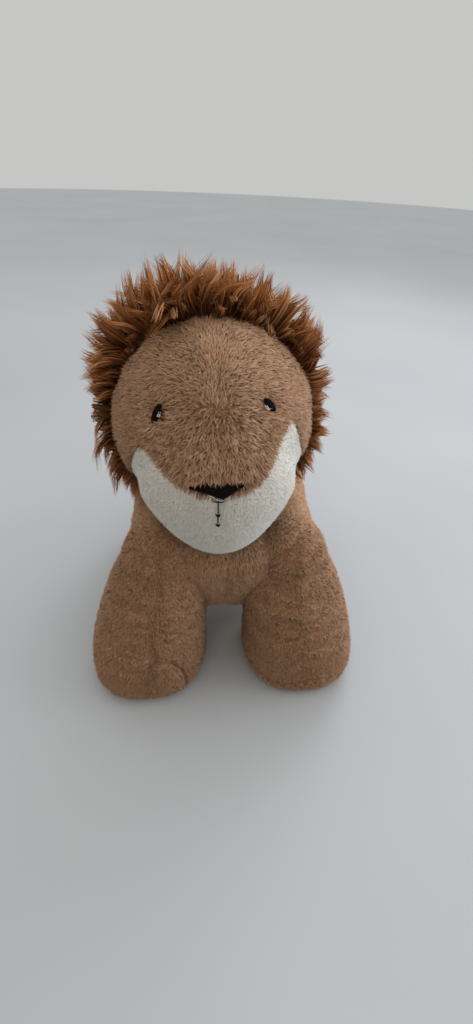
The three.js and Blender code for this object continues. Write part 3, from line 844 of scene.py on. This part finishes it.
def plan_mane():
    """Roots, directions and tips of the mane's locks, round the middle of the skull."""
    random = seed_of("mane plan")
    way = spread_ways(mane_spacing, skull_radius)
    way = unit(way + random.normal(0, 0.02, way.shape))
    roots = skull_radius * way
    hem = hem_low + hem_rise * (roots[:, 1] - mane_edge)
    kept = (roots[:, 1] > mane_edge - 2) & (roots[:, 2] > hem + 2)
    way, roots = way[kept], roots[kept]
    near_edge = clamp(1 - (roots[:, 1] - mane_edge) / 14)
    under = clamp(-way[:, 2] - 0.1)
    lean = random.normal(0, 0.34, way.shape) + 0.45 * drift(roots, 13)
    lean[:, 1] += 0.1 - 0.35 * near_edge
    lean[:, 2] -= 0.1 + 0.4 * under
    aim = unit(way + lean)
    span = np.linalg.norm(blow_up(roots, aim, in_mane) - roots, axis=1)
    ends = roots + aim * np.minimum(span, longest_lock)[:, None]
    share = random.uniform(0.65, 1.08, len(roots)) + full_side_gain * clamp(way @ full_side) ** 5
    tips = roots + (ends - roots) * share[:, None] + random.normal(0, 1.2, roots.shape)
    hem = hem_low + hem_rise * (tips[:, 1] - mane_edge) - 14 * clamp((np.abs(tips[:, 0]) - 35) / 15)
    tips[:, 2] = np.maximum(tips[:, 2], hem - random.uniform(0, 4, len(tips)))
    return roots, way, tips


def plan_fringe():
    """Short thick locks at the hairline that curl up and forward over the forehead."""
    random = seed_of("fringe plan")
    count = 44
    across = np.linspace(-46, 47, count) + random.normal(0, 1.2, count)
    back = random.uniform(-4, 3, count)
    roots = columns(across, back, np.sqrt(skull_radius ** 2 - across ** 2 - back ** 2))
    way = unit(roots)
    tips = roots + way * random.uniform(9, 15, (count, 1)) + random.normal(0, 3, roots.shape)
    tips[:, 1] -= random.uniform(2, 9, count)
    return roots, way, tips


def plan_whiskers():
    """Locks low on each cheek that hang out and down beside the chin."""
    random = seed_of("whisker plan")
    count = 60
    side = np.where(np.arange(count) % 2 == 0, 1.0, -1.0)
    angle = np.radians(random.uniform(5, 54, count) * np.where(side < 0, 1.2, 1.0))
    back = random.uniform(-6, 10, count)
    ring = np.sqrt(skull_radius ** 2 - back ** 2)
    roots = columns(side * ring * np.cos(angle), back, -ring * np.sin(angle))
    way = unit(roots)
    length = random.uniform(14, 22, count) * np.where(side < 0, 1.5, 1.0)
    fall = np.where(side < 0, -0.95, -0.55)[:, None] * [0, 0, 1]
    tips = roots + length[:, None] * unit(way + [0, -0.1, 0] + fall + random.normal(0, 0.12, way.shape))
    return roots, way, tips


plans = zip(plan_mane(), plan_fringe(), plan_whiskers())
mane_roots, mane_ways, mane_tips = (np.concatenate(parts) for parts in plans)
print("the mane has", len(mane_roots), "locks")

# %% Sew the mane
def comb_back(points):
    """Away from the face."""
    return columns(0.2 * np.sign(points[:, 0]), 0.6, -0.2)


for side, name in ((1, "left"), (-1, "right")):
    backing = sew_panel(f"mane_{name}_backing", head_cloth, head_outward, panel_faces[f"mane_{name}"],
                        comb_back, mane_undercoat_painted_dark, mane_pile, trim=trim_face, place=to_row)
    attach(backing, "head", "mane_brown", f"mane_{name}_panel")
    here = side * mane_roots[:, 0] > 0
    locks = make_locks(f"mane_{name}_locks", mane_roots[here], mane_ways[here], mane_tips[here],
                       mane_lock, mane_pile, place=to_row)
    attach(locks, "head", "mane_brown", f"mane_{name}_panel")

# %% [markdown]
# ## Stitched eyes, nose and mouth
#
# The features are satin stitch: thick dark thread laid side by side across the shape, so that it
# stands up in a low dome. Each stitch is a thin tube that comes down to the cloth at both ends.

# %% Thread
THREAD_TWIST = 0.5


def thread_material(name, dark, pale, roughness):
    """Twisted rayon thread. The twist makes fine slanted bands, THREAD_TWIST millimetres apart."""
    material, tree = new_material(name)
    place = add_node(tree, "TexCoord")
    twist = add_node(tree, "TexWave", {
        "Vector": place.outputs["Object"], "Scale": 2 * np.pi / THREAD_TWIST / 20 / MM,
        "Distortion": 1.5, "Detail": 2.0}, bands_direction="DIAGONAL")
    colour = set_ramp(add_node(tree, "ValToRGB", {0: twist.outputs["Color"]}), [(0, dark), (1, pale)])
    bump = add_node(tree, "Bump", {"Height": twist.outputs["Color"], "Strength": 0.3, "Distance": 0.1 * MM})
    shader = add_node(tree, "BsdfPrincipled", {
        "Base Color": colour, "Roughness": roughness, "Normal": bump,
        "Specular IOR Level": 0.08,
    })
    add_node(tree, "OutputMaterial", {0: shader})
    return material


dark_thread = thread_material("dark_rayon_thread", "#070202", "#130807", 0.6)
pale_thread = thread_material("pale_rayon_thread", "#c9c6c0", "#e6e3dd", 0.5)


def stitch(name, stitches, radius, dome, material):
    """Satin stitches. Each goes from one place to another, across and up, over a low dome, and tapers
    to its ends."""
    points, faces, count = [], [], 0
    t = np.linspace(0, 1, 9)
    radii = radius * np.sin(np.linspace(0.12, np.pi - 0.12, len(t))) ** 0.3
    for start, end, height_share in stitches:
        x = start[0] + (end[0] - start[0]) * t
        z = start[1] + (end[1] - start[1]) * t
        lift = dome * height_share * np.sin(np.pi * t) ** 0.6 + 0.6
        more, more_faces = tube(face_point(x, z, lift), radii, 6)
        points.append(more)
        faces.append(more_faces + count)
        count += len(more)
    piece = make_piece(name, to_row(np.concatenate(points)), [np.concatenate(faces)], None, material)
    print(f"{name}: {len(stitches)} stitches")
    return piece


def satin_oval(middle, half_width, half_height, slant, thread_gap):
    """Level stitches across a slanted oval."""
    lean = np.array([np.sin(slant), np.cos(slant)])
    across = np.array([lean[1], -lean[0]])
    made = []
    for place in np.arange(-half_height + 0.3, half_height, thread_gap):
        width = half_width * np.sqrt(1 - (place / half_height) ** 2)
        core = np.array(middle) + place * lean
        made.append((core - width * across, core + width * across, width / half_width))
    return made


# %% Eyes
eye_thread_gap = 0.62
eye_threads = {
    "left_eye": ((28.8, 27.8), 1.7, 4.6, np.radians(-42), (27.2, 27.7)),
    "right_eye": ((-31.2, 25.4), 1.9, 5.6, np.radians(28), (-29.8, 26.3)),
}
for name, (middle, half_width, half_height, slant, glint_middle) in eye_threads.items():
    oval = satin_oval(middle, half_width, half_height, slant, eye_thread_gap)
    piece = stitch(name + "_satin", oval, 0.42, 1.1, dark_thread)
    attach(piece, "head", "thread_dark", name)
    lean = np.array([np.sin(slant), np.cos(slant)])
    glint_stitches = [(glint_middle - 1.5 * lean + [k, 0], glint_middle + 1.3 * lean + [k, 0], 1.5)
                      for k in (-0.45, 0.45)]
    glint = stitch(name + "_glint_thread", glint_stitches, 0.24, 1.9, pale_thread)
    attach(glint, "head", "thread_pale", name + "_glint")

# %% Lashes
lash_stitches = [((-28.9, 27.7), (-26.4, 27.4), 1), ((-29.0, 26.2), (-26.2, 25.4), 1),
                 ((-29.4, 24.6), (-27.2, 23.6), 1)]
lashes = stitch("right_eye_lashes", lash_stitches, 0.3, 1.2, dark_thread)
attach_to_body(lashes, "head")


# %% Nose and mouth
def nose_stitches():
    """Upright stitches that fill the nose."""
    made = []
    for x in np.arange(-17.2, 14.9, 0.7):
        high = np.interp(x, nose_top[:, 0], nose_top[:, 1])
        low = np.interp(x, nose_bottom[:, 0], nose_bottom[:, 1])
        made.append(((x, high), (x * 0.97, low), 0.4 + 0.6 * (1 - (x / 18) ** 2)))
    return made


nose_piece = stitch("nose_satin", nose_stitches(), 0.5, 2.2, dark_thread)
attach(nose_piece, "head", "thread_dark", "nose")
mouth_stitches = [((-1.5, -10.6), (-2.0, -20.5), 1), ((-2.0, -20), (-2.3, -28), 0.3),
                  ((-4.6, -12.0), (2.2, -12.3), 1), ((-3.2, -20.0), (-0.9, -20.2), 1.4),
                  ((-3.2, -20.8), (-0.9, -21.0), 1.4), ((-3.4, -27.0), (-1.2, -27.2), 1.4),
                  ((-3.4, -27.8), (-1.2, -28.0), 1.4)]
mouth_piece = stitch("mouth_threads", mouth_stitches, 0.33, 0.9, dark_thread)
attach(mouth_piece, "head", "thread_dark", "mouth_stitches")
edge_stitches = [((-7.5, -7.6), (-3.2, -9.6), 1), ((-4.8, -9.0), (-0.6, -11.4), 1),
                 ((2.6, -11.0), (5.4, -8.9), 1)]
nose_edge = stitch("nose_edge_threads", edge_stitches, 0.2, 1.2, pale_thread)
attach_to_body(nose_edge, "head")

# %% [markdown]
# ## The body
#
# The torso is a blunt bolster and each leg is a stuffed sock that swells to a wide paw. Both are drawn
# by asking, for a point, whether it lies inside the form, and then blowing up a ball of points
# until each one meets the skin. The same question later keeps the pile of one part out of another.

# %% Forms that can be asked about
row_shift = np.array([0.0, joint_place("front_left_leg_swing")[1] - 3, 0.0])
torso_middle = np.array([0.0, 77.0, 106.0]) + row_shift
torso_half = np.array([70.0, 101.0, 58.0])
torso_blunt = 2.5
torso_taper = 0.1
front_leg = {"foot": (63, -4), "pivot": (46, 3, 112), "paw": (45, 46), "shoulder": (27, 30)}
hind_leg = {"foot": (50, 134), "pivot": (42, 128, 104), "paw": (36, 42), "shoulder": (28, 34)}
legs = {
    "front_left": dict(front_leg, side=1),
    "front_right": dict(front_leg, side=-1),
    "hind_left": dict(hind_leg, side=1),
    "hind_right": dict(hind_leg, side=-1),
}
swell_heights = np.array([0, 0.035, 0.12, 0.3, 0.52, 0.77, 1])
swell_shares = np.array([0.55, 0.86, 1, 0.99, 0.86, 0.56, 0])
sole_height = 7.0
paw_blunt = 1.25


def in_torso(points, grow):
    """Whether points lie in the torso, made larger all round by grow."""
    place = points - torso_middle
    along_body = place[:, 1] / (torso_half[1] + grow)
    swell = (1 - np.minimum(np.abs(along_body), 1) ** torso_blunt) ** (1 / torso_blunt)
    taper = 1 - torso_taper * clamp(along_body)
    across = place[:, 0] / np.maximum((torso_half[0] * taper + grow) * swell, 1e-6)
    up = place[:, 2] / np.maximum((torso_half[2] + grow) * swell, 1e-6)
    return (across ** 2 + up ** 2 < 1) & (np.abs(along_body) < 1)


def leg_middle(name, height):
    """The middle of a leg's section at some heights, across and along."""
    foot, pivot = legs[name]["foot"], legs[name]["pivot"]
    share = clamp(height / pivot[2])
    x = legs[name]["side"] * (foot[0] + (pivot[0] - foot[0]) * share)
    y = foot[1] + (pivot[1] - foot[1]) * share + row_shift[1]
    return x, y


def across_leg(name, points):
    """How far across points lie from a leg's middle."""
    return points[:, 0] - leg_middle(name, points[:, 2])[0]


def leg_start(name):
    """The point halfway up a leg that its forms are blown up from."""
    halfway = np.array(0.5 * legs[name]["pivot"][2])
    return np.array([*leg_middle(name, halfway), halfway])


def in_leg(name, points, grow, swing=0.0):
    """Whether points lie in a leg, made larger all round by grow, and as far as it may swing."""
    paw, shoulder, top = legs[name]["paw"], legs[name]["shoulder"], legs[name]["pivot"][2]
    height = points[:, 2]
    x, y = leg_middle(name, height)
    share = clamp(height / top)
    swell = sum(np.interp(share + step, swell_heights, swell_shares) for step in (-0.02, 0, 0.02)) / 3
    reach_out = np.maximum(top - height, 0) * np.sin(swing)
    half_width = shoulder[0] + (paw[0] - shoulder[0]) * swell + grow
    half_depth = shoulder[1] + (paw[1] - shoulder[1]) * swell + grow + reach_out
    power = 2 * (paw_blunt + (1 - paw_blunt) * share ** 2)
    across = np.abs((points[:, 0] - x) / half_width)
    along_leg = np.abs((points[:, 1] - y) / half_depth)
    rise = np.maximum(height - top, 0) / (shoulder[1] + grow)
    flat = across ** power + along_leg ** power
    return (flat + rise ** 2 < 1) & (height > -grow)


# %% Keep clear of the turning head
skull_room = skull_radius + 4.4
face_room = 3.6
neck_room = 73.8
neck_cone = np.radians(24)
head_turns = (-18, -9, 0, 9, 18)
head_nod = 3


def clear_of_head(points, spare=0.0):
    """Pushes points out of the room that the head and the neck's pad turn in, and spare further."""
    moved = points.copy()
    for turn in head_turns:
        pose = rotation("Z", turn) @ rotation("X", head_nod) @ LEAN_TURN
        place = (moved - neck_place) @ pose - inside_head
        distance = np.linalg.norm(place, axis=1, keepdims=True)
        way = place / np.maximum(distance, 1e-6)
        place = way * np.maximum(distance, head_reach(way)[:, None] + face_room + spare)
        moved = (place + inside_head) @ pose.T + neck_place
    place = moved - neck_place
    distance = np.linalg.norm(place, axis=1, keepdims=True)
    way = place / np.maximum(distance, 1e-6)
    room = np.where(way[:, 2:] < -np.cos(neck_cone), neck_room, skull_room)
    return neck_place + way * np.maximum(distance, room + spare)


# %% Sew the torso
belly_seam = 72.0
shoulder_middle = np.array([-1.5, 17, 127])
shoulder_out = 39.5
shoulder_half = np.array([24.5, 32, 24])
chest_sink, chest_hang = 9.0, 13.0
torso_cells = 60
torso_pucker = 2.0


def in_any_leg(points, grow, swing=0.0):
    """Whether points lie in one of the legs."""
    return np.any([in_leg(name, points, grow, swing) for name in legs], axis=0)


def in_shoulders(points):
    """Whether points lie in the fullness over a front leg, where the torso's stuffing runs on into it."""
    place = points - row_shift - shoulder_middle
    place[:, 0] = np.abs(place[:, 0]) - shoulder_out
    return np.sum((place / shoulder_half) ** 2, axis=1) < 1


def settle_chest(points):
    """Lets the chest sink back and hang lower between the front legs."""
    moved = points.copy()
    front = clamp((torso_middle[1] - 30 - points[:, 1]) / 45)
    share = np.exp(-(points[:, 0] / 32) ** 4) * front
    moved[:, 1] += chest_sink * share * clamp((122 - points[:, 2]) / 30)
    moved[:, 2] -= chest_hang * share * clamp((110 - points[:, 2]) / 40)
    return moved


torso_ways, torso_faces = ball_grid(torso_cells)
torso_cloth = blow_up(torso_middle, torso_ways,
                      lambda points: in_torso(points, -PILE_RISE) | in_shoulders(points))
torso_outward = point_normals(torso_cloth, torso_faces)
torso_cloth += torso_outward * lumps(torso_cloth, 17, 0.9)
chest_dip = 0.5 * close_to(torso_cloth[:, 0], 2.5) * (torso_cloth[:, 2] > 60)
torso_cloth -= torso_outward * chest_dip[:, None]
torso_cloth = settle_chest(torso_cloth)
sewn = np.maximum(close_to(torso_cloth[:, 0], 2.0), close_to(torso_cloth[:, 2] - belly_seam, 2.0))
torso_cloth = clear_of_head(press_out(torso_cloth, torso_faces, sewn, torso_pucker))
torso_outward = point_normals(torso_cloth, torso_faces)


def comb_torso(points):
    """Back along the body and down its sides, and straight down on the chest."""
    place = points - torso_middle
    chest = clamp((-place[:, 1] - 70) / 25)
    down = -0.45 - 0.4 * chest
    return columns(0.15 * np.sign(place[:, 0]), 0.75 * (1 - chest), down)


def trim_torso(points):
    """None inside a leg or under the head, and short beside the seams."""
    share = np.where(in_any_leg(points, -2.6), 0.0, 1.0)
    beside = np.minimum(np.abs(points[:, 0]), np.abs(points[:, 2] - belly_seam))
    share *= 0.8 + 0.2 * clamp(beside / 2.4)
    from_head = np.linalg.norm(points - neck_place, axis=1)
    return share * (from_head > skull_room + 1.2)


centre = torso_cloth[torso_faces].mean(axis=1)
tucked = in_any_leg(centre, -4.5, -np.radians(10))
upper = centre[:, 2] > belly_seam
torso_panels = {
    "torso_left": (torso_faces[upper & (centre[:, 0] > 0) & ~tucked], brown_plush),
    "torso_right": (torso_faces[upper & (centre[:, 0] <= 0) & ~tucked], brown_plush),
    "belly": (torso_faces[~upper & ~tucked], back_plush),
}
for name, (faces, pile) in torso_panels.items():
    piece = sew_panel(name + "_pile", torso_cloth, torso_outward, faces, comb_torso, pile, brown_pile,
                      trim=trim_torso, clear=clear_of_head)
    attach(piece, "torso", "plush_brown", name + "_panel")

# %% [markdown]
# ## The legs
#
# A seam runs down the front and the back of each leg, and an oval sole closes it. Above the front of
# each front paw the stuffing stops short, so the cloth folds into a crease over the toes, with a low
# lip beside it. The sides where two legs face each other are a little flatter. The pile is brushed
# sideways from the front seam and then down.

# %% Sew the legs
toe_lines = {
    "front_right": np.array([[-7, 42], [1, 47], [6, 49.5], [12, 49], [18, 43], [24, 34], [28, 22], [29, 12]]),
    "front_left": np.array([[-40, 24], [-33, 18], [-23, 16], [-11, 16], [0, 19], [10, 24]]),
}
toe_fold, toe_lip = 4.2, 1.2
inner_draw = 4.5
leg_cells = 46
leg_pucker = 1.3
sole_plush = dict(back_plush, length=2.2, density=0.5)


def toe_crease(name, points, away=0.0, width=1.5):
    """How near points are to the crease over the toes, or to a line some way away from it, 0 to 1."""
    if name not in toe_lines:
        return np.zeros(len(points))
    x, y = leg_middle(name, points[:, 2])
    marks = along(toe_lines[name], 40)
    marks = columns(marks[:, 0], 0, marks[:, 1])
    flat = columns(points[:, 0] - x, 0, points[:, 2])
    return close_to(distance_to(flat, marks) - away, width) * (points[:, 1] < y)


def slim_inside(name, points):
    """Draws in the inner side of a leg a little, where the two legs face each other."""
    side = legs[name]["side"]
    inner = clamp(-side * across_leg(name, points) / legs[name]["paw"][0])
    slim = clamp((points[:, 2] - 12) / 25) * clamp((105 - points[:, 2]) / 30)
    points[:, 0] += side * inner_draw * slim * inner ** 2
    return points


def sew_leg(name):
    """A leg's two panels and its sole."""
    side = legs[name]["side"]
    ways, faces = ball_grid(leg_cells)
    cloth = blow_up(leg_start(name), ways, lambda points: in_leg(name, points, -PILE_RISE))
    outward = point_normals(cloth, faces)
    upright = (cloth[:, 2] > sole_height + 4)[:, None]
    from_seam = across_leg(name, cloth)
    seam_dip = 0.15 * close_to(from_seam, 1.8)
    cloth += outward * upright * (lumps(cloth + 31 * side, 15, 0.9) - seam_dip[:, None])
    round_sole = close_to(cloth[:, 2] - sole_height, 2.5)
    sewn = np.maximum(round_sole, np.maximum(close_to(from_seam, 2.0), toe_crease(name, cloth)))
    cloth = press_out(cloth, faces, sewn, leg_pucker)
    fold = toe_fold * toe_crease(name, cloth) - toe_lip * toe_crease(name, cloth, 4.0, 2.2)
    cloth = slim_inside(name, cloth - outward * upright * fold[:, None])
    cloth[:, 2] = np.maximum(cloth[:, 2], 0.3)
    outward = point_normals(cloth, faces)

    def comb(points):
        """Outward from the front seam and then down, in soft waves."""
        x, y = leg_middle(name, points[:, 2])
        across = points[:, 0] - x
        part = np.exp(-np.abs(across) / 13)
        front = np.where(points[:, 1] < y, -0.1, 0.25)
        wave = 0.35 * np.sin(points[:, 2] / 2.6 + np.sin(across / 5)) * np.sin(across / 6 + points[:, 2] / 11)
        return columns(np.tanh(across / 5) * part + wave, front, -0.85 + 0.45 * part)

    def trim(points):
        """None inside the torso, and short beside the seams and in the crease."""
        share = np.where(in_torso(2 * points - settle_chest(points), -2.6), 0.0, 1.0)
        share *= 0.9 + 0.1 * clamp(np.abs(across_leg(name, points)) / 1.8)
        share *= 0.6 + 0.4 * clamp(np.abs(points[:, 2] - sole_height) / 2.0)
        return share * (1 - 0.8 * toe_crease(name, points))

    def on_table(points):
        """Points that lie on or above the table."""
        held = points.copy()
        held[:, 2] = np.maximum(held[:, 2], 0.15)
        return held

    centre = cloth[faces].mean(axis=1)
    outer = side * across_leg(name, centre) > 0
    sole = centre[:, 2] < sole_height
    # The front legs take the pile whose darker shade is painted shade.
    pile = front_leg_plush_painted_darker if name in toe_lines else back_plush
    panels = {
        "outer_panel": (faces[outer & ~sole], pile, brown_pile, "plush_brown"),
        "inner_panel": (faces[~outer & ~sole], pile, brown_pile, "plush_brown"),
        "sole": (faces[sole], sole_plush, sole_pile, "sole_brown"),
    }
    for panel, (some_faces, kind, material, slot) in panels.items():
        piece = sew_panel(f"{name}_leg_{panel}_pile", cloth, outward, some_faces, comb, kind, material,
                          trim=trim, clear=on_table)
        attach(piece, f"{name}_leg", slot, f"{name}_leg_{panel}")


for name in legs:
    sew_leg(name)

# %% [markdown]
# ## The tail
#
# The tail is a thin stuffed tube. Its tuft is the same long fur as the mane, and hangs in finer locks.

# %% Sew the tail
tail_marks = np.array([[0, 167, 134], [0, 176, 133.5], [0, 184.5, 129.5], [0, 190, 121], [0, 192, 110],
                       [0, 192, 85], [0, 192, 58]]) + row_shift
tail_radius = 5.6
tuft_middle = np.array([0, 192, 63.7]) + row_shift
tuft_radius = 13.0
tuft_length = 42.0
tail_rings = 60
leftward_way = [1.0, 0.0, 0.0]


def comb_tail(points):
    """Straight down, and a touch back."""
    return np.tile([0.0, 0.15, -0.9], (len(points), 1))


def trim_tail(points):
    """None where the tail sits in the torso."""
    return np.where(in_torso(points, -1.0), 0.0, 0.85)


tail_line = along(tail_marks, tail_rings)
tail_line = np.stack([np.convolve(np.pad(tail_line[:, k], 3, "edge"), np.ones(7) / 7, "valid")
                      for k in range(3)], axis=1)
from_tail_middle = np.abs(np.linspace(-1, 1, tail_rings))
tail_round = np.sqrt(np.clip(1 - (from_tail_middle - 0.9) ** 2 / 0.01, 0.02, 1))
tail_round[from_tail_middle < 0.9] = 1
tail_cloth, tail_faces = tube(tail_line, tail_radius * tail_round, 26, leftward_way)
tail_outward = point_normals(tail_cloth, tail_faces)
tail_piece = sew_panel("tail_pile", tail_cloth, tail_outward, tail_faces, comb_tail, back_plush, brown_pile,
                       trim=trim_tail)
attach(tail_piece, "tail", "plush_brown", "tail_skin")


def plan_tuft():
    """Roots, directions and tips of the tuft's locks."""
    random = seed_of("tuft plan")
    count = 150
    angle = random.uniform(0, 2 * np.pi, count)
    round_way = columns(np.cos(angle), np.sin(angle), 0)
    height = random.uniform(-6, 14, count)
    roots = tuft_middle + round_way * tail_radius - np.outer(height, [0, 0, 1])
    drop = random.uniform(0.12, 0.97, count)
    wide = tuft_radius * np.sqrt(1 - drop ** 2) * random.uniform(0.75, 1.0, count)
    tips = tuft_middle + round_way * wide[:, None] - np.outer(tuft_length * drop, [0, 0, 1])
    tips[:, 2] = np.minimum(tips[:, 2], roots[:, 2] - 8)
    return roots, unit(round_way - [0, 0, 0.5]), tips


tuft_lock = dict(mane_lock, strands=12, radius=1.8)
tuft = make_locks("tail_tuft_locks", *plan_tuft(), tuft_lock, mane_pile)
attach(tuft, "tail", "mane_brown", "tail_tuft")

# %% [markdown]
# ## The stuffing
#
# Under the cloth lies white polyester fibre, which the toy needs to keep its shape. It is a closed
# form 2 to 7 mm inside each skin, and the neck's pad is the part between head and torso. A brown
# collar hides the pad, and its upper edge reaches up into the head.

# %% Fibre
fibre, tree = new_material("white_polyester_fibre")
place = add_node(tree, "TexCoord")
curls = add_node(tree, "TexNoise", {"Vector": place.outputs["Object"], "Scale": 1 / (3 * MM),
                                              "Detail": 6.0, "Distortion": 1.2})
whites = set_ramp(add_node(tree, "ValToRGB", {0: curls}), [(0.3, "#cfcbc2"), (0.7, "#efece5")])
loft_bump = add_node(tree, "Bump", {"Height": curls, "Strength": 0.6, "Distance": 1.0 * MM})
shader = add_node(tree, "BsdfPrincipled", {
    "Base Color": whites, "Roughness": 0.95, "Normal": loft_bump, "Sheen Weight": 0.2})
add_node(tree, "OutputMaterial", {0: shader})


def stuff(name, points, faces, body, node):
    """A closed piece of fibre."""
    piece = make_piece(name, points, [faces], None, fibre)
    attach(piece, body, "fibre_white", node)


def out_of_legs(points):
    """Moves points towards the middle plane until they lie clear of every leg."""
    moved = points.copy()
    for _ in range(60):
        caught = in_any_leg(moved, 0.5)
        if not caught.any():
            break
        moved[caught, 0] -= np.sign(moved[caught, 0]) * 1.2
    return moved


torso_inset, leg_inset, head_inset, under_head = 6.5, 8.5, 5, 2.5
ways, faces = ball_grid(22)
core = blow_up(torso_middle, ways, lambda points: in_torso(points, -torso_inset))
core = out_of_legs(clear_of_head(settle_chest(core), under_head))
stuff("torso_fibre", core, faces, "torso", "torso_stuffing")
core = inside_head + (head_reach(ways)[:, None] - head_inset) * ways
stuff("head_fibre", to_row(core), faces, "head", "head_stuffing")
for name in legs:
    core = blow_up(leg_start(name), ways, lambda points: in_leg(name, points, -leg_inset))
    core = slim_inside(name, core)
    stuff(f"{name}_leg_fibre", core, faces, f"{name}_leg", f"{name}_leg_stuffing")
core, core_faces = tube(tail_line[3:-4], 3.4 * tail_round[3:-4], 14, leftward_way)
stuff("tail_fibre", core, core_faces, "tail", "tail_stuffing")

# %% The neck's pad
def neck_tube(radii, angles, sides):
    """Rings under the head, given by their distance from the place that the head turns about and by
    their angle from straight down."""
    line = neck_place - np.outer(radii * np.cos(angles), [0, 0, 1])
    return tube(line[::-1], (radii * np.sin(angles))[::-1], sides, leftward_way)


pad_angles = np.radians(np.concatenate([np.linspace(0.5, 18, 9), [19, 19.6, 19, 18],
                                        np.linspace(16, 0.5, 8)]))
pad_radii = np.concatenate([np.full(9, 62.6), [63.5, 67.5, 71.0, 72.2], np.full(8, 72.6)])
pad, pad_faces = neck_tube(pad_radii, pad_angles, 40)
stuff("neck_fibre", pad, pad_faces, "neck", "neck_stuffing")

# %% The collar round the pad
collar_angle = np.radians(21.6)
collar_cloth, collar_faces = neck_tube(np.linspace(57.0, 73.5, 12), collar_angle, 72)
collar_outward = point_normals(collar_cloth, collar_faces)
collar_plush = dict(brown_plush, length=2.6, density=1.6)
collar = sew_panel("neck_collar_pile", collar_cloth, collar_outward, collar_faces, comb_tail, collar_plush,
                   brown_pile)
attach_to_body(collar, "neck")

# %% [markdown]
# ## The table, the light and the air
#
# A plain pale table top takes the lion's soft shadow. The light is that of a bright day from a window
# behind and to the right: two soft lamps on that side, a dim warm one in front for the room, and a sky
# that is brightest overhead and toward the window. The camera sees a plain pale wall instead of it.

# %% Table top
floor_radius = 4000.0
floor_sides = 64
floor_material, tree = new_material("pale_lacquered_table")
place = add_node(tree, "TexCoord")
cloud = add_node(tree, "TexNoise", {"Vector": place.outputs["Object"], "Scale": 3.0, "Detail": 2.0})
pales = set_ramp(add_node(tree, "ValToRGB", {0: cloud}), [(0.3, "#a8a9aa"), (0.7, "#aeafaf")])
shader = add_node(tree, "BsdfPrincipled", {"Base Color": pales, "Roughness": 0.6})
add_node(tree, "OutputMaterial", {0: shader})
floor_ring = np.linspace(0, 2 * np.pi, floor_sides, endpoint=False)
round_floor = columns(np.cos(floor_ring), np.sin(floor_ring), 0)
floor_points = np.concatenate([[[0, 0, 0]], floor_radius * round_floor])
corner = np.arange(floor_sides)
floor_faces = np.stack([0 * corner, 1 + corner, 1 + (corner + 1) % floor_sides], axis=1)
floor = make_piece("table_top", floor_points, [floor_faces], None, floor_material)

# %% Light
bpy.context.scene.view_settings.view_transform = "Standard"
world = bpy.data.worlds.new("bright_room")
bpy.context.scene.world = world
world.use_nodes = True
tree = world.node_tree
tree.nodes.clear()
ray = add_node(tree, "LightPath")
seen = add_node(tree, "Math", {0: ray.outputs["Is Camera Ray"], 1: ray.outputs["Is Glossy Ray"]},
                operation="MAXIMUM")
seen = add_node(tree, "Math", {0: seen, 1: ray.outputs["Is Transmission Ray"]}, operation="MAXIMUM")
window_way = (0.25, 0.2, 0.95)
sky = add_node(tree, "TexCoord")
toward_window = add_node(tree, "VectorMath", {0: sky.outputs["Generated"], 1: window_way},
                         operation="DOT_PRODUCT")
height = add_node(tree, "MapRange", {"Value": toward_window.outputs["Value"], "From Min": -0.2,
                                               "To Min": 0.04, "To Max": 1.52})
tint = set_ramp(add_node(tree, "ValToRGB", {0: toward_window.outputs["Value"]}),
                [(0, "#f5e8d2"), (0.8, "#eef4fb")])
even = add_node(tree, "Background", {0: tint, 1: height})
wall = add_node(tree, "Background", {0: linear("#c6c7c4"), 1: 1.0})
both = add_node(tree, "MixShader", {0: seen, 1: even, 2: wall})
add_node(tree, "OutputWorld", {0: both})


def soft_lamp(name, place, size, watts, colour):
    """A large square lamp that faces the lion."""
    data = bpy.data.lights.new(name, "AREA")
    data.size = size
    data.energy = watts
    data.color = linear(colour)[:3]
    lamp = bpy.data.objects.new(name, data)
    lamp.location = place
    lamp.rotation_euler = (Vector((0, 0, 0.15)) - Vector(place)).to_track_quat("-Z", "Y").to_euler()
    bpy.context.scene.collection.objects.link(lamp)


soft_lamp("window", (0.55, 0.9, 1.0), 0.7, 6.0, "#f4f8ff")
soft_lamp("side", (1.2, -0.15, 0.6), 0.8, 4.5, "#f4f8ff")
soft_lamp("room", (-0.2, -0.75, 1.1), 0.6, 1.6, "#ffeacf")
